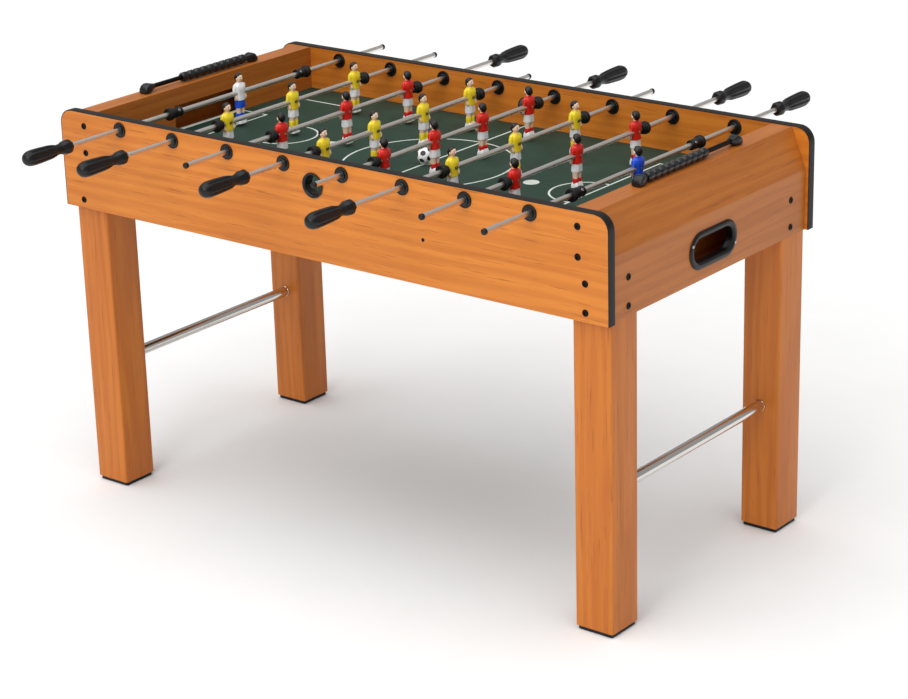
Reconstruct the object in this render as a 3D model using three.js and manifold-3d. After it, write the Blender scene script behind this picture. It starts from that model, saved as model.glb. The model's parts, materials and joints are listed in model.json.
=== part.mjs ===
// Foosball table: a wooden cabinet on four legs, eight rods of players with handles, two score counters, a ball.
// Millimetres, +Z up. X runs along the field from the yellow goal (-X) to the red goal (+X), Y across it.
// The origin is on the floor under the middle of the table.
import * as THREE from "three";
import { mergeVertices } from "three/addons/utils/BufferGeometryUtils.js";
import Module from "manifold-3d";

const wasm = await Module();
wasm.setup();

// ---------------------------------------------------------------- driving dimensions

const contactGap = 0.3; // left between two pieces that touch
const runningGap = 0.35; // radial play of anything that slides or turns on a bar
const overshoot = 1; // how far a cutter runs past the face it cuts

// Cabinet
const tableHeight = 790;
const bodyWidth = 668; // over the outer faces of the side panels
const sidePanelLength = 1302;
const sidePanelHeight = 196;
const sidePanelThickness = 18;
const sidePanelCornerRadius = 30;
const goalWallSetback = 82; // from the end of a side panel to the playing face of a goal wall
const fieldDepth = 90; // top of the playing surface below the top of the side panels
const playfieldThickness = 6;
const goalWallThickness = 12;
const goalWidth = 200;
const goalHeight = 52;
const goalSill = 2; // the goal wall is cut this far below the field, so a ball rolls over it
const endPanelSetback = 8; // from the end of a side panel to the outer face of an end panel
const endPanelThickness = 14;
const endRailWidth = 43;
const endRailDrop = 2; // top of the end rail below the top of the side panels
const endPanelFoldHeight = 117; // where the end panel starts to lean inwards, above its lower edge

// Ball return
const trayThickness = 6;
const trayHeight = 6; // underside of the tray above the lower edge of the panels
const returnHoleWidth = 136;
const returnHoleHeight = 52;
const returnHoleCentre = 56; // above the lower edge of the end panel
const bezelLip = 9; // how far the bezel covers the panel round the hole
const bezelWall = 4;
const bezelLipThickness = 4;

// Ball entry cups, one in each side panel
const ballDiameter = 32;
const ballStartY = -10; // beside the centre spot
const cupBoreClearance = 2; // radial room round the ball
const cupWall = 2;
const cupFlangeWidth = 4;
const cupFlangeThickness = 3;
const cupInnerReach = 2; // past the inner face of the panel
const cupAboveField = 38;

// Legs
const legSize = 80;
const legInset = 9; // from the end of a side panel to the end face of a leg
const legStubClearance = 4; // between a leg's stub, inside the cabinet, and the playing board above it
const footPadHeight = 8;
const footPadInset = 3;
const stretcherDiameter = 22;
const stretcherHeight = 258;

// Rods
const rodCount = 8;
const goalieFromGoalWall = 81; // from a goalkeeper's rod to its goal wall; the rods between are evenly spaced
const rodDiameter = 10;
const rodDrop = 21; // axis below the top of the side panels
const bearingDiameter = 30;
const bearingFlange = 5; // how far a bearing stands out of each face of its panel
const goalieTravel = 103; // each way from the middle, until a bumper meets its bearing
const defenceTravel = 85; // the same for the rods with three players
const midfieldTravel = 53; // and for the rods with four
const travelGap = 1; // left between a bumper and its bearing at the end of the travel
const handleGap = 136; // from the outer face of the side panel to the handle, rod centred
const bareEndGap = 123; // from the outer face of the side panel to the rod's bare end, rod centred
const midfieldShortening = 35; // the four-player rods travel less, so they are shorter at both ends
const endCapDiameter = 12;
const endCapLength = 8;
const bumperDiameter = 25;
const bumperLength = 18;
const bumperPlayerGap = 2;
const collarDiameter = 20;
const collarLength = 17;

// Handles
const handleLength = 118;
const handleBoreDepth = 88;
const handleFlareRadius = 13.5;
const handleWaistWall = 2.5; // over the rod, where the handle is thinnest
const handleBulbRadius = 15;

// Players: heights are above (+) or below (-) the rod's axis
const playerHeadTop = 39;
const playerHeadRadius = 8.5;
const playerShoulder = 19;
const playerHem = -14;
const playerFootClearance = 5; // above the field
const playerFootHeight = 13;
const playerToeHeight = 8;
const playerSockHeight = 13;
const playerShoulderWidth = 30;
const playerHipWidth = 21;
const playerLegWidth = 18;
const playerFootWidth = 21;
const playerChestWall = 3; // plastic left in front of and behind the rod
const playerLegDepth = 11;
const playerFootDepth = 17;

// Score counters
const counterLength = 330;
const counterFootLength = 30;
const counterFootWidth = 22;
const counterFootHeight = 19;
const counterBarDiameter = 9;
const counterBarHeight = 10.5; // bar's axis above the rail
const beadDiameter = 19;
const beadLength = 19;
const beadGrooveDepth = 2;
const beadCount = 10;

// Facets of the round pieces
const rodFacets = 10;
const bearingFacets = 12;
const cupFacets = 16;
const smallFacets = 8;

// ---------------------------------------------------------------- values worked out from them

const panelBottom = tableHeight - sidePanelHeight;
const panelOuterY = bodyWidth / 2;
const panelInnerY = panelOuterY - sidePanelThickness;
const endFaceX = sidePanelLength / 2 - endPanelSetback;
const endInnerX = endFaceX - endPanelThickness;
const goalWallX = sidePanelLength / 2 - goalWallSetback;
const fieldHeight = tableHeight - fieldDepth;
const fieldUnderside = fieldHeight - playfieldThickness;
const railTop = tableHeight - endRailDrop;
const rodHeight = tableHeight - rodDrop;
const rodSpacing = (2 * (goalWallX - goalieFromGoalWall)) / (rodCount - 1);
const legOuterX = sidePanelLength / 2 - legInset;
const legInnerX = legOuterX - legSize;
const legOuterY = panelInnerY - contactGap;
const legInnerY = legOuterY - legSize;
const legStubTop = fieldUnderside - legStubClearance;
const stopY = panelInnerY - bearingFlange; // inner face of a bearing
const cupBoreRadius = ballDiameter / 2 + cupBoreClearance;
const cupBarrelRadius = cupBoreRadius + cupWall;
const cupHeight = fieldHeight + cupAboveField;
const holeRadius = (barRadius, facets) => (barRadius + runningGap) / Math.cos(Math.PI / facets);

// One entry per rod, from the yellow goal to the red one. shift is where the rod stands along its travel.
const rods = [
  { name: "yellow_goalie", team: "yellow", players: 1, handle: -1, shift: 5 },
  { name: "yellow_defence", team: "yellow", players: 3, handle: -1, shift: 9 },
  { name: "red_attack", team: "red", players: 3, handle: 1, shift: 9 },
  { name: "yellow_midfield", team: "yellow", players: 4, handle: -1, shift: 1 },
  { name: "red_midfield", team: "red", players: 4, handle: 1, shift: 8 },
  { name: "yellow_attack", team: "yellow", players: 3, handle: -1, shift: 0 },
  { name: "red_defence", team: "red", players: 3, handle: 1, shift: 0 },
  { name: "red_goalie", team: "red", players: 1, handle: 1, shift: -8 },
];

// ---------------------------------------------------------------- finishes

const finish = (colour, roughness, metalness = 0) =>
  new THREE.MeshStandardMaterial({ color: colour, roughness, metalness });

const cherryWood = finish("#c8702f", 0.45);
const greenBoard = finish("#2d4a3a", 0.6);
const blackPlastic = finish("#16171a", 0.4);
const blackMetal = finish("#1d1d1f", 0.5, 0.4);
const chrome = finish("#c9ccd0", 0.2, 0.9);
const rodSteel = finish("#b9bbbd", 0.3, 0.9);
const playerFinish = {
  yellow: finish("#ecd55c", 0.35),
  red: finish("#cf3426", 0.35),
  yellow_goalie: finish("#e8e8ea", 0.35),
  red_goalie: finish("#3566d6", 0.35),
};
const ballWhite = finish("#eef0f2", 0.4);

// ---------------------------------------------------------------- geometry helpers

// A closed geometry as a manifold-3d solid, for cutting and joining.
function solid(geometry) {
  const bare = geometry.clone();
  bare.deleteAttribute("normal");
  bare.deleteAttribute("uv");
  const merged = mergeVertices(bare, 1e-4);
  return new wasm.Manifold(
    new wasm.Mesh({
      numProp: 3,
      vertProperties: merged.attributes.position.array,
      triVerts: new Uint32Array(merged.index.array),
    }),
  );
}

// A manifold-3d solid back as a three.js geometry.
function geometryOf(body) {
  const mesh = body.getMesh();
  const positions = new Float32Array(mesh.numVert * 3);
  for (let i = 0; i < mesh.numVert; i++) {
    positions.set(mesh.vertProperties.subarray(i * mesh.numProp, i * mesh.numProp + 3), i * 3);
  }
  const geometry = new THREE.BufferGeometry();
  geometry.setAttribute("position", new THREE.BufferAttribute(positions, 3));
  geometry.setIndex(new THREE.BufferAttribute(new Uint32Array(mesh.triVerts), 1));
  geometry.computeVertexNormals();
  return geometry;
}

// A box between two corners.
function box([x0, y0, z0], [x1, y1, z1]) {
  const geometry = new THREE.BoxGeometry(x1 - x0, y1 - y0, z1 - z0);
  return geometry.translate((x0 + x1) / 2, (y0 + y1) / 2, (z0 + z1) / 2);
}

// A piece turned about the Y axis: the profile is [radius, y] points, from the lowest y to the highest.
function turnedAlongY(profile, facets) {
  const points = profile.map(([radius, y]) => new THREE.Vector2(radius, y));
  return new THREE.LatheGeometry(points, facets);
}

// A plain round bar along the Y axis, from -reach to reach.
function barAlongY(radius, reach, facets) {
  return turnedAlongY([[0, -reach], [radius, -reach], [radius, reach], [0, reach]], facets);
}

// A ring turned about the Y axis: outer profile upwards, then the bore back down to close it.
function ringAlongY(outer, boreRadius, facets) {
  const first = outer[0];
  const last = outer[outer.length - 1];
  return turnedAlongY([...outer, [boreRadius, last[1]], [boreRadius, first[1]], first], facets);
}

// An outline drawn in X and Z, extruded along Y from y0 to y1.
function extrudedAlongY(shape, y0, y1, curveSegments = 6) {
  const options = { depth: y1 - y0, bevelEnabled: false, curveSegments };
  const geometry = new THREE.ExtrudeGeometry(shape, options);
  return geometry.rotateX(Math.PI / 2).translate(0, y1, 0);
}

// An outline drawn in Y and Z, extruded along X from x0 to x1.
function extrudedAlongX(shape, x0, x1, curveSegments = 6) {
  const options = { depth: x1 - x0, bevelEnabled: false, curveSegments };
  const geometry = new THREE.ExtrudeGeometry(shape, options);
  return geometry.rotateX(Math.PI / 2).rotateZ(Math.PI / 2).translate(x0, 0, 0);
}

function polygon(points) {
  return new THREE.Shape(points.map(([u, v]) => new THREE.Vector2(u, v)));
}

// A slot with round ends, long side along the first axis, centred on (0, v).
function slot(width, height, v) {
  const radius = height / 2;
  const reach = width / 2 - radius;
  const shape = new THREE.Shape();
  shape.moveTo(-reach, v - radius);
  shape.lineTo(reach, v - radius);
  shape.absarc(reach, v, radius, -Math.PI / 2, Math.PI / 2, false);
  shape.lineTo(-reach, v + radius);
  shape.absarc(-reach, v, radius, Math.PI / 2, (3 * Math.PI) / 2, false);
  return shape;
}

const table = new THREE.Group();

function addPiece(name, geometry, material, parent = table) {
  const mesh = new THREE.Mesh(geometry, material);
  mesh.name = name;
  parent.add(mesh);
  return mesh;
}

const rodX = (index) => (index - (rodCount - 1) / 2) * rodSpacing;

// ---------------------------------------------------------------- cabinet

// A side panel with its sixteen bearing flanges, drawn for the front; the back one is it turned round.
function sidePanel() {
  const half = sidePanelLength / 2;
  const corner = sidePanelCornerRadius;
  const outline = new THREE.Shape();
  outline.moveTo(-half, panelBottom);
  outline.lineTo(half, panelBottom);
  outline.lineTo(half, tableHeight - corner);
  outline.absarc(half - corner, tableHeight - corner, corner, 0, Math.PI / 2, false);
  outline.lineTo(-half + corner, tableHeight);
  outline.absarc(-half + corner, tableHeight - corner, corner, Math.PI / 2, Math.PI, false);
  let panel = solid(extrudedAlongY(outline, -panelOuterY, -panelInnerY));
  const middleY = -(panelOuterY + panelInnerY) / 2;
  const bearingReach = sidePanelThickness / 2 + bearingFlange;
  const bearing = barAlongY(bearingDiameter / 2, bearingReach, bearingFacets);
  const bore = barAlongY(holeRadius(rodDiameter / 2, bearingFacets), bearingReach + overshoot, bearingFacets);
  for (let i = 0; i < rodCount; i++) {
    panel = panel.add(solid(bearing.clone().translate(rodX(i), middleY, rodHeight)));
    panel = panel.subtract(solid(bore.clone().translate(rodX(i), middleY, rodHeight)));
  }
  const cupHoleRadius = (cupBarrelRadius + contactGap) / Math.cos(Math.PI / cupFacets);
  const cupHole = barAlongY(cupHoleRadius, sidePanelThickness / 2 + overshoot, cupFacets);
  panel = panel.subtract(solid(cupHole.translate(0, middleY, cupHeight)));
  return geometryOf(panel);
}

// A flanged cup in a side panel, through which the ball is served.
function ballEntryCup() {
  const flangeFace = -panelOuterY - contactGap - cupFlangeThickness;
  const flangeRadius = cupBarrelRadius + cupFlangeWidth;
  const outer = [
    [flangeRadius, flangeFace],
    [flangeRadius, -panelOuterY - contactGap],
    [cupBarrelRadius, -panelOuterY - contactGap],
    [cupBarrelRadius, -panelInnerY + cupInnerReach],
  ];
  return ringAlongY(outer, cupBoreRadius, cupFacets).translate(0, 0, cupHeight);
}

// The right end panel: rail on top, a leaning board below it, and an upright board with the return hole.
function endPanel() {
  const foldHeight = panelBottom + endPanelFoldHeight;
  const railOuterX = goalWallX + endRailWidth;
  const lean = Math.atan2(endFaceX - railOuterX, railTop - foldHeight);
  const foldDrop = endPanelThickness * Math.tan(lean / 2);
  const railTurn = endPanelThickness * Math.tan((Math.PI / 2 - lean) / 2);
  const profile = polygon([
    [goalWallX, railTop],
    [goalWallX, railTop - endPanelThickness],
    [railOuterX - railTurn, railTop - endPanelThickness],
    [endInnerX, foldHeight - foldDrop],
    [endInnerX, panelBottom],
    [endFaceX, panelBottom],
    [endFaceX, foldHeight],
    [railOuterX, railTop],
  ]);
  const reach = panelInnerY - contactGap;
  const panel = solid(extrudedAlongY(profile, -reach, reach));
  const hole = slot(returnHoleWidth, returnHoleHeight, panelBottom + returnHoleCentre);
  return geometryOf(panel.subtract(solid(extrudedAlongX(hole, endInnerX - overshoot, endFaceX + overshoot))));
}

// The right goal wall, with the goal cut through it and the ball tray fixed behind its foot.
function goalBox() {
  const outerX = goalWallX + goalWallThickness;
  const wallTop = railTop - endPanelThickness - contactGap;
  const reach = panelInnerY - contactGap;
  const reachBetweenLegs = legInnerY - contactGap;
  const trayBottom = panelBottom + trayHeight;
  const lowerTop = legStubTop + contactGap;
  const upper = solid(box([goalWallX, -reach, lowerTop], [outerX, reach, wallTop]));
  const lower = solid(box([goalWallX, -reachBetweenLegs, trayBottom], [outerX, reachBetweenLegs, lowerTop]));
  const tray = solid(
    box(
      [outerX, -reachBetweenLegs, trayBottom],
      [endInnerX - contactGap, reachBetweenLegs, trayBottom + trayThickness],
    ),
  );
  const goal = solid(
    box(
      [goalWallX - overshoot, -goalWidth / 2, fieldHeight - goalSill],
      [outerX + overshoot, goalWidth / 2, fieldHeight + goalHeight],
    ),
  );
  return geometryOf(upper.add(lower).add(tray).subtract(goal));
}

// The oval trim of the right ball return: a lip on the panel's face and a barrel through its hole.
function returnBezel() {
  const centre = panelBottom + returnHoleCentre;
  const barrelWidth = returnHoleWidth - 2 * contactGap;
  const barrelHeight = returnHoleHeight - 2 * contactGap;
  const lip = slot(returnHoleWidth + 2 * bezelLip, returnHoleHeight + 2 * bezelLip, centre);
  const barrel = slot(barrelWidth, barrelHeight, centre);
  const opening = slot(barrelWidth - 2 * bezelWall, barrelHeight - 2 * bezelWall, centre);
  const lipStart = endFaceX + contactGap;
  const lipEnd = lipStart + bezelLipThickness;
  const body = solid(extrudedAlongX(barrel, endInnerX, lipStart + overshoot)).add(
    solid(extrudedAlongX(lip, lipStart, lipEnd)),
  );
  return geometryOf(body.subtract(solid(extrudedAlongX(opening, endInnerX - overshoot, lipEnd + overshoot))));
}

// The back right leg: a square post, a stub inside the cabinet's corner, and the foot pad under it.
function leg() {
  const shoulder = panelBottom - contactGap;
  const post = solid(box([legInnerX, legInnerY, footPadHeight], [legOuterX, legOuterY, shoulder]));
  const stub = solid(
    box([legInnerX, legInnerY, shoulder - overshoot], [endInnerX - contactGap, legOuterY, legStubTop]),
  );
  const pad = solid(
    box(
      [legInnerX + footPadInset, legInnerY + footPadInset, 0],
      [legOuterX - footPadInset, legOuterY - footPadInset, footPadHeight + overshoot],
    ),
  );
  return geometryOf(post.add(stub).add(pad));
}

// ---------------------------------------------------------------- rods

// Distances along a rod, measured from the middle of its row of players.
function rodLayout(rod) {
  const shorter = rod.players === 4 ? midfieldShortening : 0;
  const travel = { 1: goalieTravel, 3: defenceTravel, 4: midfieldTravel }[rod.players];
  const bumperEnd = stopY - travelGap - travel;
  const bumperStart = bumperEnd - bumperLength;
  const goalie = rod.players === 1;
  const outerPlayer = bumperStart - bumperPlayerGap - playerShoulderWidth / 2;
  return {
    goalie,
    spacing: goalie ? 0 : (2 * outerPlayer) / (rod.players - 1),
    collarStart: bumperStart - collarLength,
    bumperStart,
    bumperEnd,
    bareEnd: panelOuterY + bareEndGap - shorter,
    handleStart: panelOuterY + handleGap - shorter,
  };
}

// A rod with its end cap, its two bumpers and, for a goalkeeper, its two stop collars, handle end at -Y.
function rodGeometry(rod) {
  const { goalie, collarStart, bumperStart, bumperEnd, bareEnd, handleStart } = rodLayout(rod);
  const r = rodDiameter / 2;
  const bumper = bumperDiameter / 2;
  const collar = collarDiameter / 2;
  const farSide = [
    [r, goalie ? collarStart : bumperStart],
    ...(goalie ? [[collar, collarStart], [collar, bumperStart]] : []),
    [bumper, bumperStart],
    [bumper, bumperEnd],
    [r, bumperEnd],
  ];
  const nearSide = farSide.map(([radius, y]) => [radius, -y]).reverse();
  const cap = endCapDiameter / 2;
  const profile = [
    [0, -handleStart - handleBoreDepth + contactGap],
    [r, -handleStart - handleBoreDepth + contactGap],
    ...nearSide,
    ...farSide,
    [r, bareEnd - endCapLength],
    [cap, bareEnd - endCapLength],
    [cap, bareEnd],
    [0, bareEnd],
  ];
  return turnedAlongY(profile, rodFacets);
}

// A contoured handle: flared collar, waist and bulb, with a blind bore for the rod, its tip at -Y.
function handleGeometry(rod) {
  const { handleStart } = rodLayout(rod);
  const bore = holeRadius(rodDiameter / 2, rodFacets);
  const waist = bore + handleWaistWall;
  const along = [
    [handleBulbRadius * 0.62, 0],
    [handleBulbRadius * 0.92, 0.05],
    [handleBulbRadius, 0.14],
    [handleBulbRadius * 0.96, 0.3],
    [waist * 1.2, 0.55],
    [waist, 0.72],
    [waist * 1.15, 0.82],
    [handleFlareRadius, 0.92],
    [handleFlareRadius * 0.9, 1],
  ];
  const tip = -handleStart - handleLength;
  const profile = [
    [0, tip],
    ...along.map(([radius, share]) => [radius, tip + share * handleLength]),
    [bore, -handleStart],
    [bore, -handleStart - handleBoreDepth],
    [0, -handleStart - handleBoreDepth],
  ];
  return turnedAlongY(profile, rodFacets);
}

// A player facing +X, the rod's axis through the origin along Y: where the front and side outlines meet.
function playerGeometry() {
  const sole = fieldHeight + playerFootClearance - rodHeight;
  const ankle = sole + playerFootHeight;
  const knee = ankle + playerSockHeight;
  const neck = playerHeadTop - 2 * playerHeadRadius + 2;
  const shoulder = playerShoulderWidth / 2;
  const hip = playerHipWidth / 2;
  const leg = playerLegWidth / 2;
  const foot = playerFootWidth / 2;
  const right = [
    [foot, sole],
    [foot, ankle],
    [leg, ankle],
    [leg, knee],
    [hip, playerHem],
    [shoulder, playerHem + 4],
    [shoulder, playerShoulder - 5],
    [shoulder - 5, playerShoulder],
    [4, neck],
  ];
  const left = right.map(([y, z]) => [-y, z]).reverse();
  const chest = rodDiameter / 2 + playerChestWall;
  const calf = playerLegDepth / 2;
  const toe = playerFootDepth / 2;
  const side = polygon([
    [-toe, sole],
    [toe, sole],
    [toe, sole + playerToeHeight],
    [calf, ankle],
    [calf, knee],
    [chest, playerHem],
    [chest, playerShoulder - 4],
    [4, neck],
    [-4, neck],
    [-chest, playerShoulder - 4],
    [-chest, playerHem],
    [-calf, knee],
    [-calf, ankle],
    [-toe, sole + playerToeHeight],
  ]);
  const front = solid(extrudedAlongX(polygon([...right, ...left]), -playerFootDepth, playerFootDepth));
  const profile = solid(extrudedAlongY(side, -playerShoulderWidth, playerShoulderWidth));
  const head = new THREE.SphereGeometry(playerHeadRadius, 8, 5);
  head.rotateX(Math.PI / 2).translate(0, 0, playerHeadTop - playerHeadRadius);
  const boreRadius = holeRadius(rodDiameter / 2, smallFacets);
  const bore = barAlongY(boreRadius, playerShoulderWidth / 2 + overshoot, smallFacets);
  return geometryOf(front.intersect(profile).add(solid(head)).subtract(solid(bore)));
}

// ---------------------------------------------------------------- score counters

// A score counter's bar with its two feet, standing on the right end rail.
function counterFrame() {
  const half = counterLength / 2;
  const barRadius = counterBarDiameter / 2;
  const base = railTop + contactGap;
  const barZ = railTop + counterBarHeight;
  const bar = barAlongY(barRadius, half - overshoot, smallFacets);
  let frame = solid(bar.translate(0, 0, barZ));
  for (const end of [-1, 1]) {
    const inner = end * (half - counterFootLength);
    const outer = end * half;
    const chamfer = counterFootWidth / 4;
    const outline = polygon([
      [-counterFootWidth / 2, base],
      [counterFootWidth / 2, base],
      [counterFootWidth / 2, base + counterFootHeight - chamfer],
      [counterFootWidth / 2 - chamfer, base + counterFootHeight],
      [chamfer - counterFootWidth / 2, base + counterFootHeight],
      [-counterFootWidth / 2, base + counterFootHeight - chamfer],
    ]);
    frame = frame.add(solid(extrudedAlongY(outline, Math.min(inner, outer), Math.max(inner, outer))));
  }
  return geometryOf(frame);
}

// The ten beads of a score counter side by side, starting at y = 0 and running towards +Y.
function counterBeads() {
  const r = beadDiameter / 2;
  const outer = [[r - beadGrooveDepth, 0]];
  for (let i = 0; i < beadCount; i++) {
    outer.push([r, (i + 0.2) * beadLength]);
    outer.push([r, (i + 0.8) * beadLength]);
    outer.push([r - beadGrooveDepth, (i + 1) * beadLength]);
  }
  return ringAlongY(outer, holeRadius(counterBarDiameter / 2, smallFacets), smallFacets);
}

// ---------------------------------------------------------------- assembly

const turnedRound = (geometry) => geometry.clone().rotateZ(Math.PI);
const bothEnds = [["left", -1], ["right", 1]];

const frontPanel = sidePanel();
addPiece("front_side_panel", frontPanel, cherryWood);
addPiece("back_side_panel", turnedRound(frontPanel), cherryWood);
const frontCup = ballEntryCup();
addPiece("front_ball_entry_cup", frontCup, blackPlastic);
addPiece("back_ball_entry_cup", turnedRound(frontCup), blackPlastic);

const fieldReachX = goalWallX - contactGap;
const fieldReachY = panelInnerY - contactGap;
addPiece(
  "playfield",
  box([-fieldReachX, -fieldReachY, fieldUnderside], [fieldReachX, fieldReachY, fieldHeight]),
  greenBoard,
);

const rightPieces = [
  ["goal_box", goalBox(), cherryWood],
  ["end_panel", endPanel(), cherryWood],
  ["ball_return_bezel", returnBezel(), blackPlastic],
];
for (const [side, sign] of bothEnds) {
  for (const [name, geometry, material] of rightPieces) {
    addPiece(`${side}_${name}`, sign > 0 ? geometry : turnedRound(geometry), material);
  }
}

const legGeometry = leg();
const mirrorLeg = new THREE.Matrix4().makeScale(1, -1, 1);
const mirroredLeg = geometryOf(solid(legGeometry).transform(mirrorLeg.elements));
addPiece("back_right_leg", legGeometry, cherryWood);
addPiece("front_left_leg", turnedRound(legGeometry), cherryWood);
addPiece("front_right_leg", mirroredLeg, cherryWood);
addPiece("back_left_leg", turnedRound(mirroredLeg), cherryWood);

const stretcherReach = legInnerY - contactGap;
for (const [side, sign] of bothEnds) {
  const radius = stretcherDiameter / 2;
  const stretcher = addPiece(`${side}_stretcher`, barAlongY(radius, stretcherReach, rodFacets), chrome);
  stretcher.position.set(sign * (legInnerX + legSize / 2), 0, stretcherHeight);
}

const player = playerGeometry();
rods.forEach((rod, index) => {
  const assembly = new THREE.Group();
  assembly.position.set(rodX(index), rod.shift, rodHeight);
  table.add(assembly);
  const handleSide = rod.handle < 0 ? (geometry) => geometry : turnedRound;
  addPiece(`${rod.name}_rod`, handleSide(rodGeometry(rod)), rodSteel, assembly);
  addPiece(`${rod.name}_handle`, handleSide(handleGeometry(rod)), blackPlastic, assembly);
  const { spacing, goalie } = rodLayout(rod);
  for (let i = 0; i < rod.players; i++) {
    const name = goalie ? `${rod.name}_player` : `${rod.name}_player_${i + 1}`;
    const shirt = playerFinish[goalie ? rod.name : rod.team];
    const figure = addPiece(name, rod.team === "yellow" ? player : turnedRound(player), shirt, assembly);
    figure.position.y = (i - (rod.players - 1) / 2) * spacing;
  }
});

const frameGeometry = counterFrame();
const beadsGeometry = counterBeads();
const counterX = goalWallX + endRailWidth / 2;
const beadsReach = counterLength / 2 - counterFootLength - contactGap;
for (const [side, sign] of bothEnds) {
  const bar = addPiece(`${side}_score_bar`, frameGeometry, blackMetal);
  bar.position.x = sign * counterX;
  const beads = addPiece(`${side}_score_beads`, beadsGeometry, blackPlastic);
  const start = sign < 0 ? beadsReach - beadCount * beadLength : -beadsReach;
  beads.position.set(sign * counterX, start, railTop + counterBarHeight);
}

const ball = addPiece("ball", new THREE.SphereGeometry(ballDiameter / 2, 10, 6), ballWhite);
ball.position.set(0, ballStartY, fieldHeight + contactGap + ballDiameter / 2);

export default table;
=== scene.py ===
import json
import logging
import math
from collections.abc import Sequence
from dataclasses import dataclass, field, replace
from enum import Enum

import bmesh
import bpy
import numpy as np
from mathutils import Matrix, Vector


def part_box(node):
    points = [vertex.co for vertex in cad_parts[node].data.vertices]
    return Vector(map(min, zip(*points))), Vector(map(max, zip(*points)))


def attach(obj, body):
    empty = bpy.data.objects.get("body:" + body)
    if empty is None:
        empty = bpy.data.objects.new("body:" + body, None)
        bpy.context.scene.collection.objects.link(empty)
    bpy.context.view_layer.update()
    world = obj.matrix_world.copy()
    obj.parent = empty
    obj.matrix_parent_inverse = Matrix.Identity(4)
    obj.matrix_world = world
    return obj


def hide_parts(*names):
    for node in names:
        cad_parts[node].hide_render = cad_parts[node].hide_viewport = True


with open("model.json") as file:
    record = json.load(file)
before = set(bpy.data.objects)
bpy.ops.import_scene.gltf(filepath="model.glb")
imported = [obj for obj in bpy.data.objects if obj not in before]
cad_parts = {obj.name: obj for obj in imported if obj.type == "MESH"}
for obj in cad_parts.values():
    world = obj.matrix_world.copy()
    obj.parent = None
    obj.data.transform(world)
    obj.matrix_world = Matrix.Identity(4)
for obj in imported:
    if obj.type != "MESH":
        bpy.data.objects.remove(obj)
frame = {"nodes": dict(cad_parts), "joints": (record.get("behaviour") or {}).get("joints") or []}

# Foosball table: the visual model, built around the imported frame. Every length is in metres, in the
# frame's own axes: +X along the field from the yellow goal to the red one, +Y across it, +Z up. Places
# come from the frame's nodes and joints. Shapes are grids of points, welded into closed shells.

MM = 0.001
CABINET = "cabinet"
SENSOR_WIDTH_MM = 36.0
TURN = 2 * math.pi
BOTH = (-1, 1)
ORIGIN, X_AXIS, Y_AXIS, Z_AXIS = (0.0, 0.0, 0.0), (1.0, 0.0, 0.0), (0.0, 1.0, 0.0), (0.0, 0.0, 1.0)
HALF_TURN = (-1.0, -1.0, 1.0)
VECTOR, COLOUR, VALUE = "NodeSocketVector", "NodeSocketColor", "NodeSocketFloat"
WHITE, BLACK = (1, 1, 1, 1), (0, 0, 0, 1)

Vec = Sequence[float]
Points = Sequence[Sequence[float]]
Rgb = tuple[int, int, int]
Socket = bpy.types.NodeSocket
Tree = bpy.types.NodeTree

log = logging.getLogger("foosball_table")


def mm(values: object) -> np.ndarray:
    """Millimetres as an array in metres."""
    return np.asarray(values, float) * MM


def srgb(red: int, green: int, blue: int) -> tuple[float, float, float, float]:
    """A colour given as it looks on a screen, as linear values for a shader.

    Args:
        red, green, blue: 0 to 255.

    Returns:
        Linear red, green and blue, and an alpha of 1.
    """
    share = np.array([red, green, blue]) / 255
    linear = np.where(share <= 0.04045, share / 12.92, ((share + 0.055) / 1.055) ** 2.4)
    return (*linear.tolist(), 1.0)


def placed(name: str, data: bpy.types.ID) -> bpy.types.Object:
    """A new object in the scene, at the origin and unturned."""
    made = bpy.data.objects.new(name, data)
    bpy.context.scene.collection.objects.link(made)
    return made


# ---------------------------------------------------------------- shader building blocks


class Grain(Enum):
    """The way that the grain runs on a board: the turn that brings it to the pattern's X axis."""

    ALONG_X = (0.0, 0.0, 0.0)
    ALONG_Y = (0.0, 0.0, -math.pi / 2)
    ALONG_Z = (0.0, math.pi / 2, 0.0)


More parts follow.
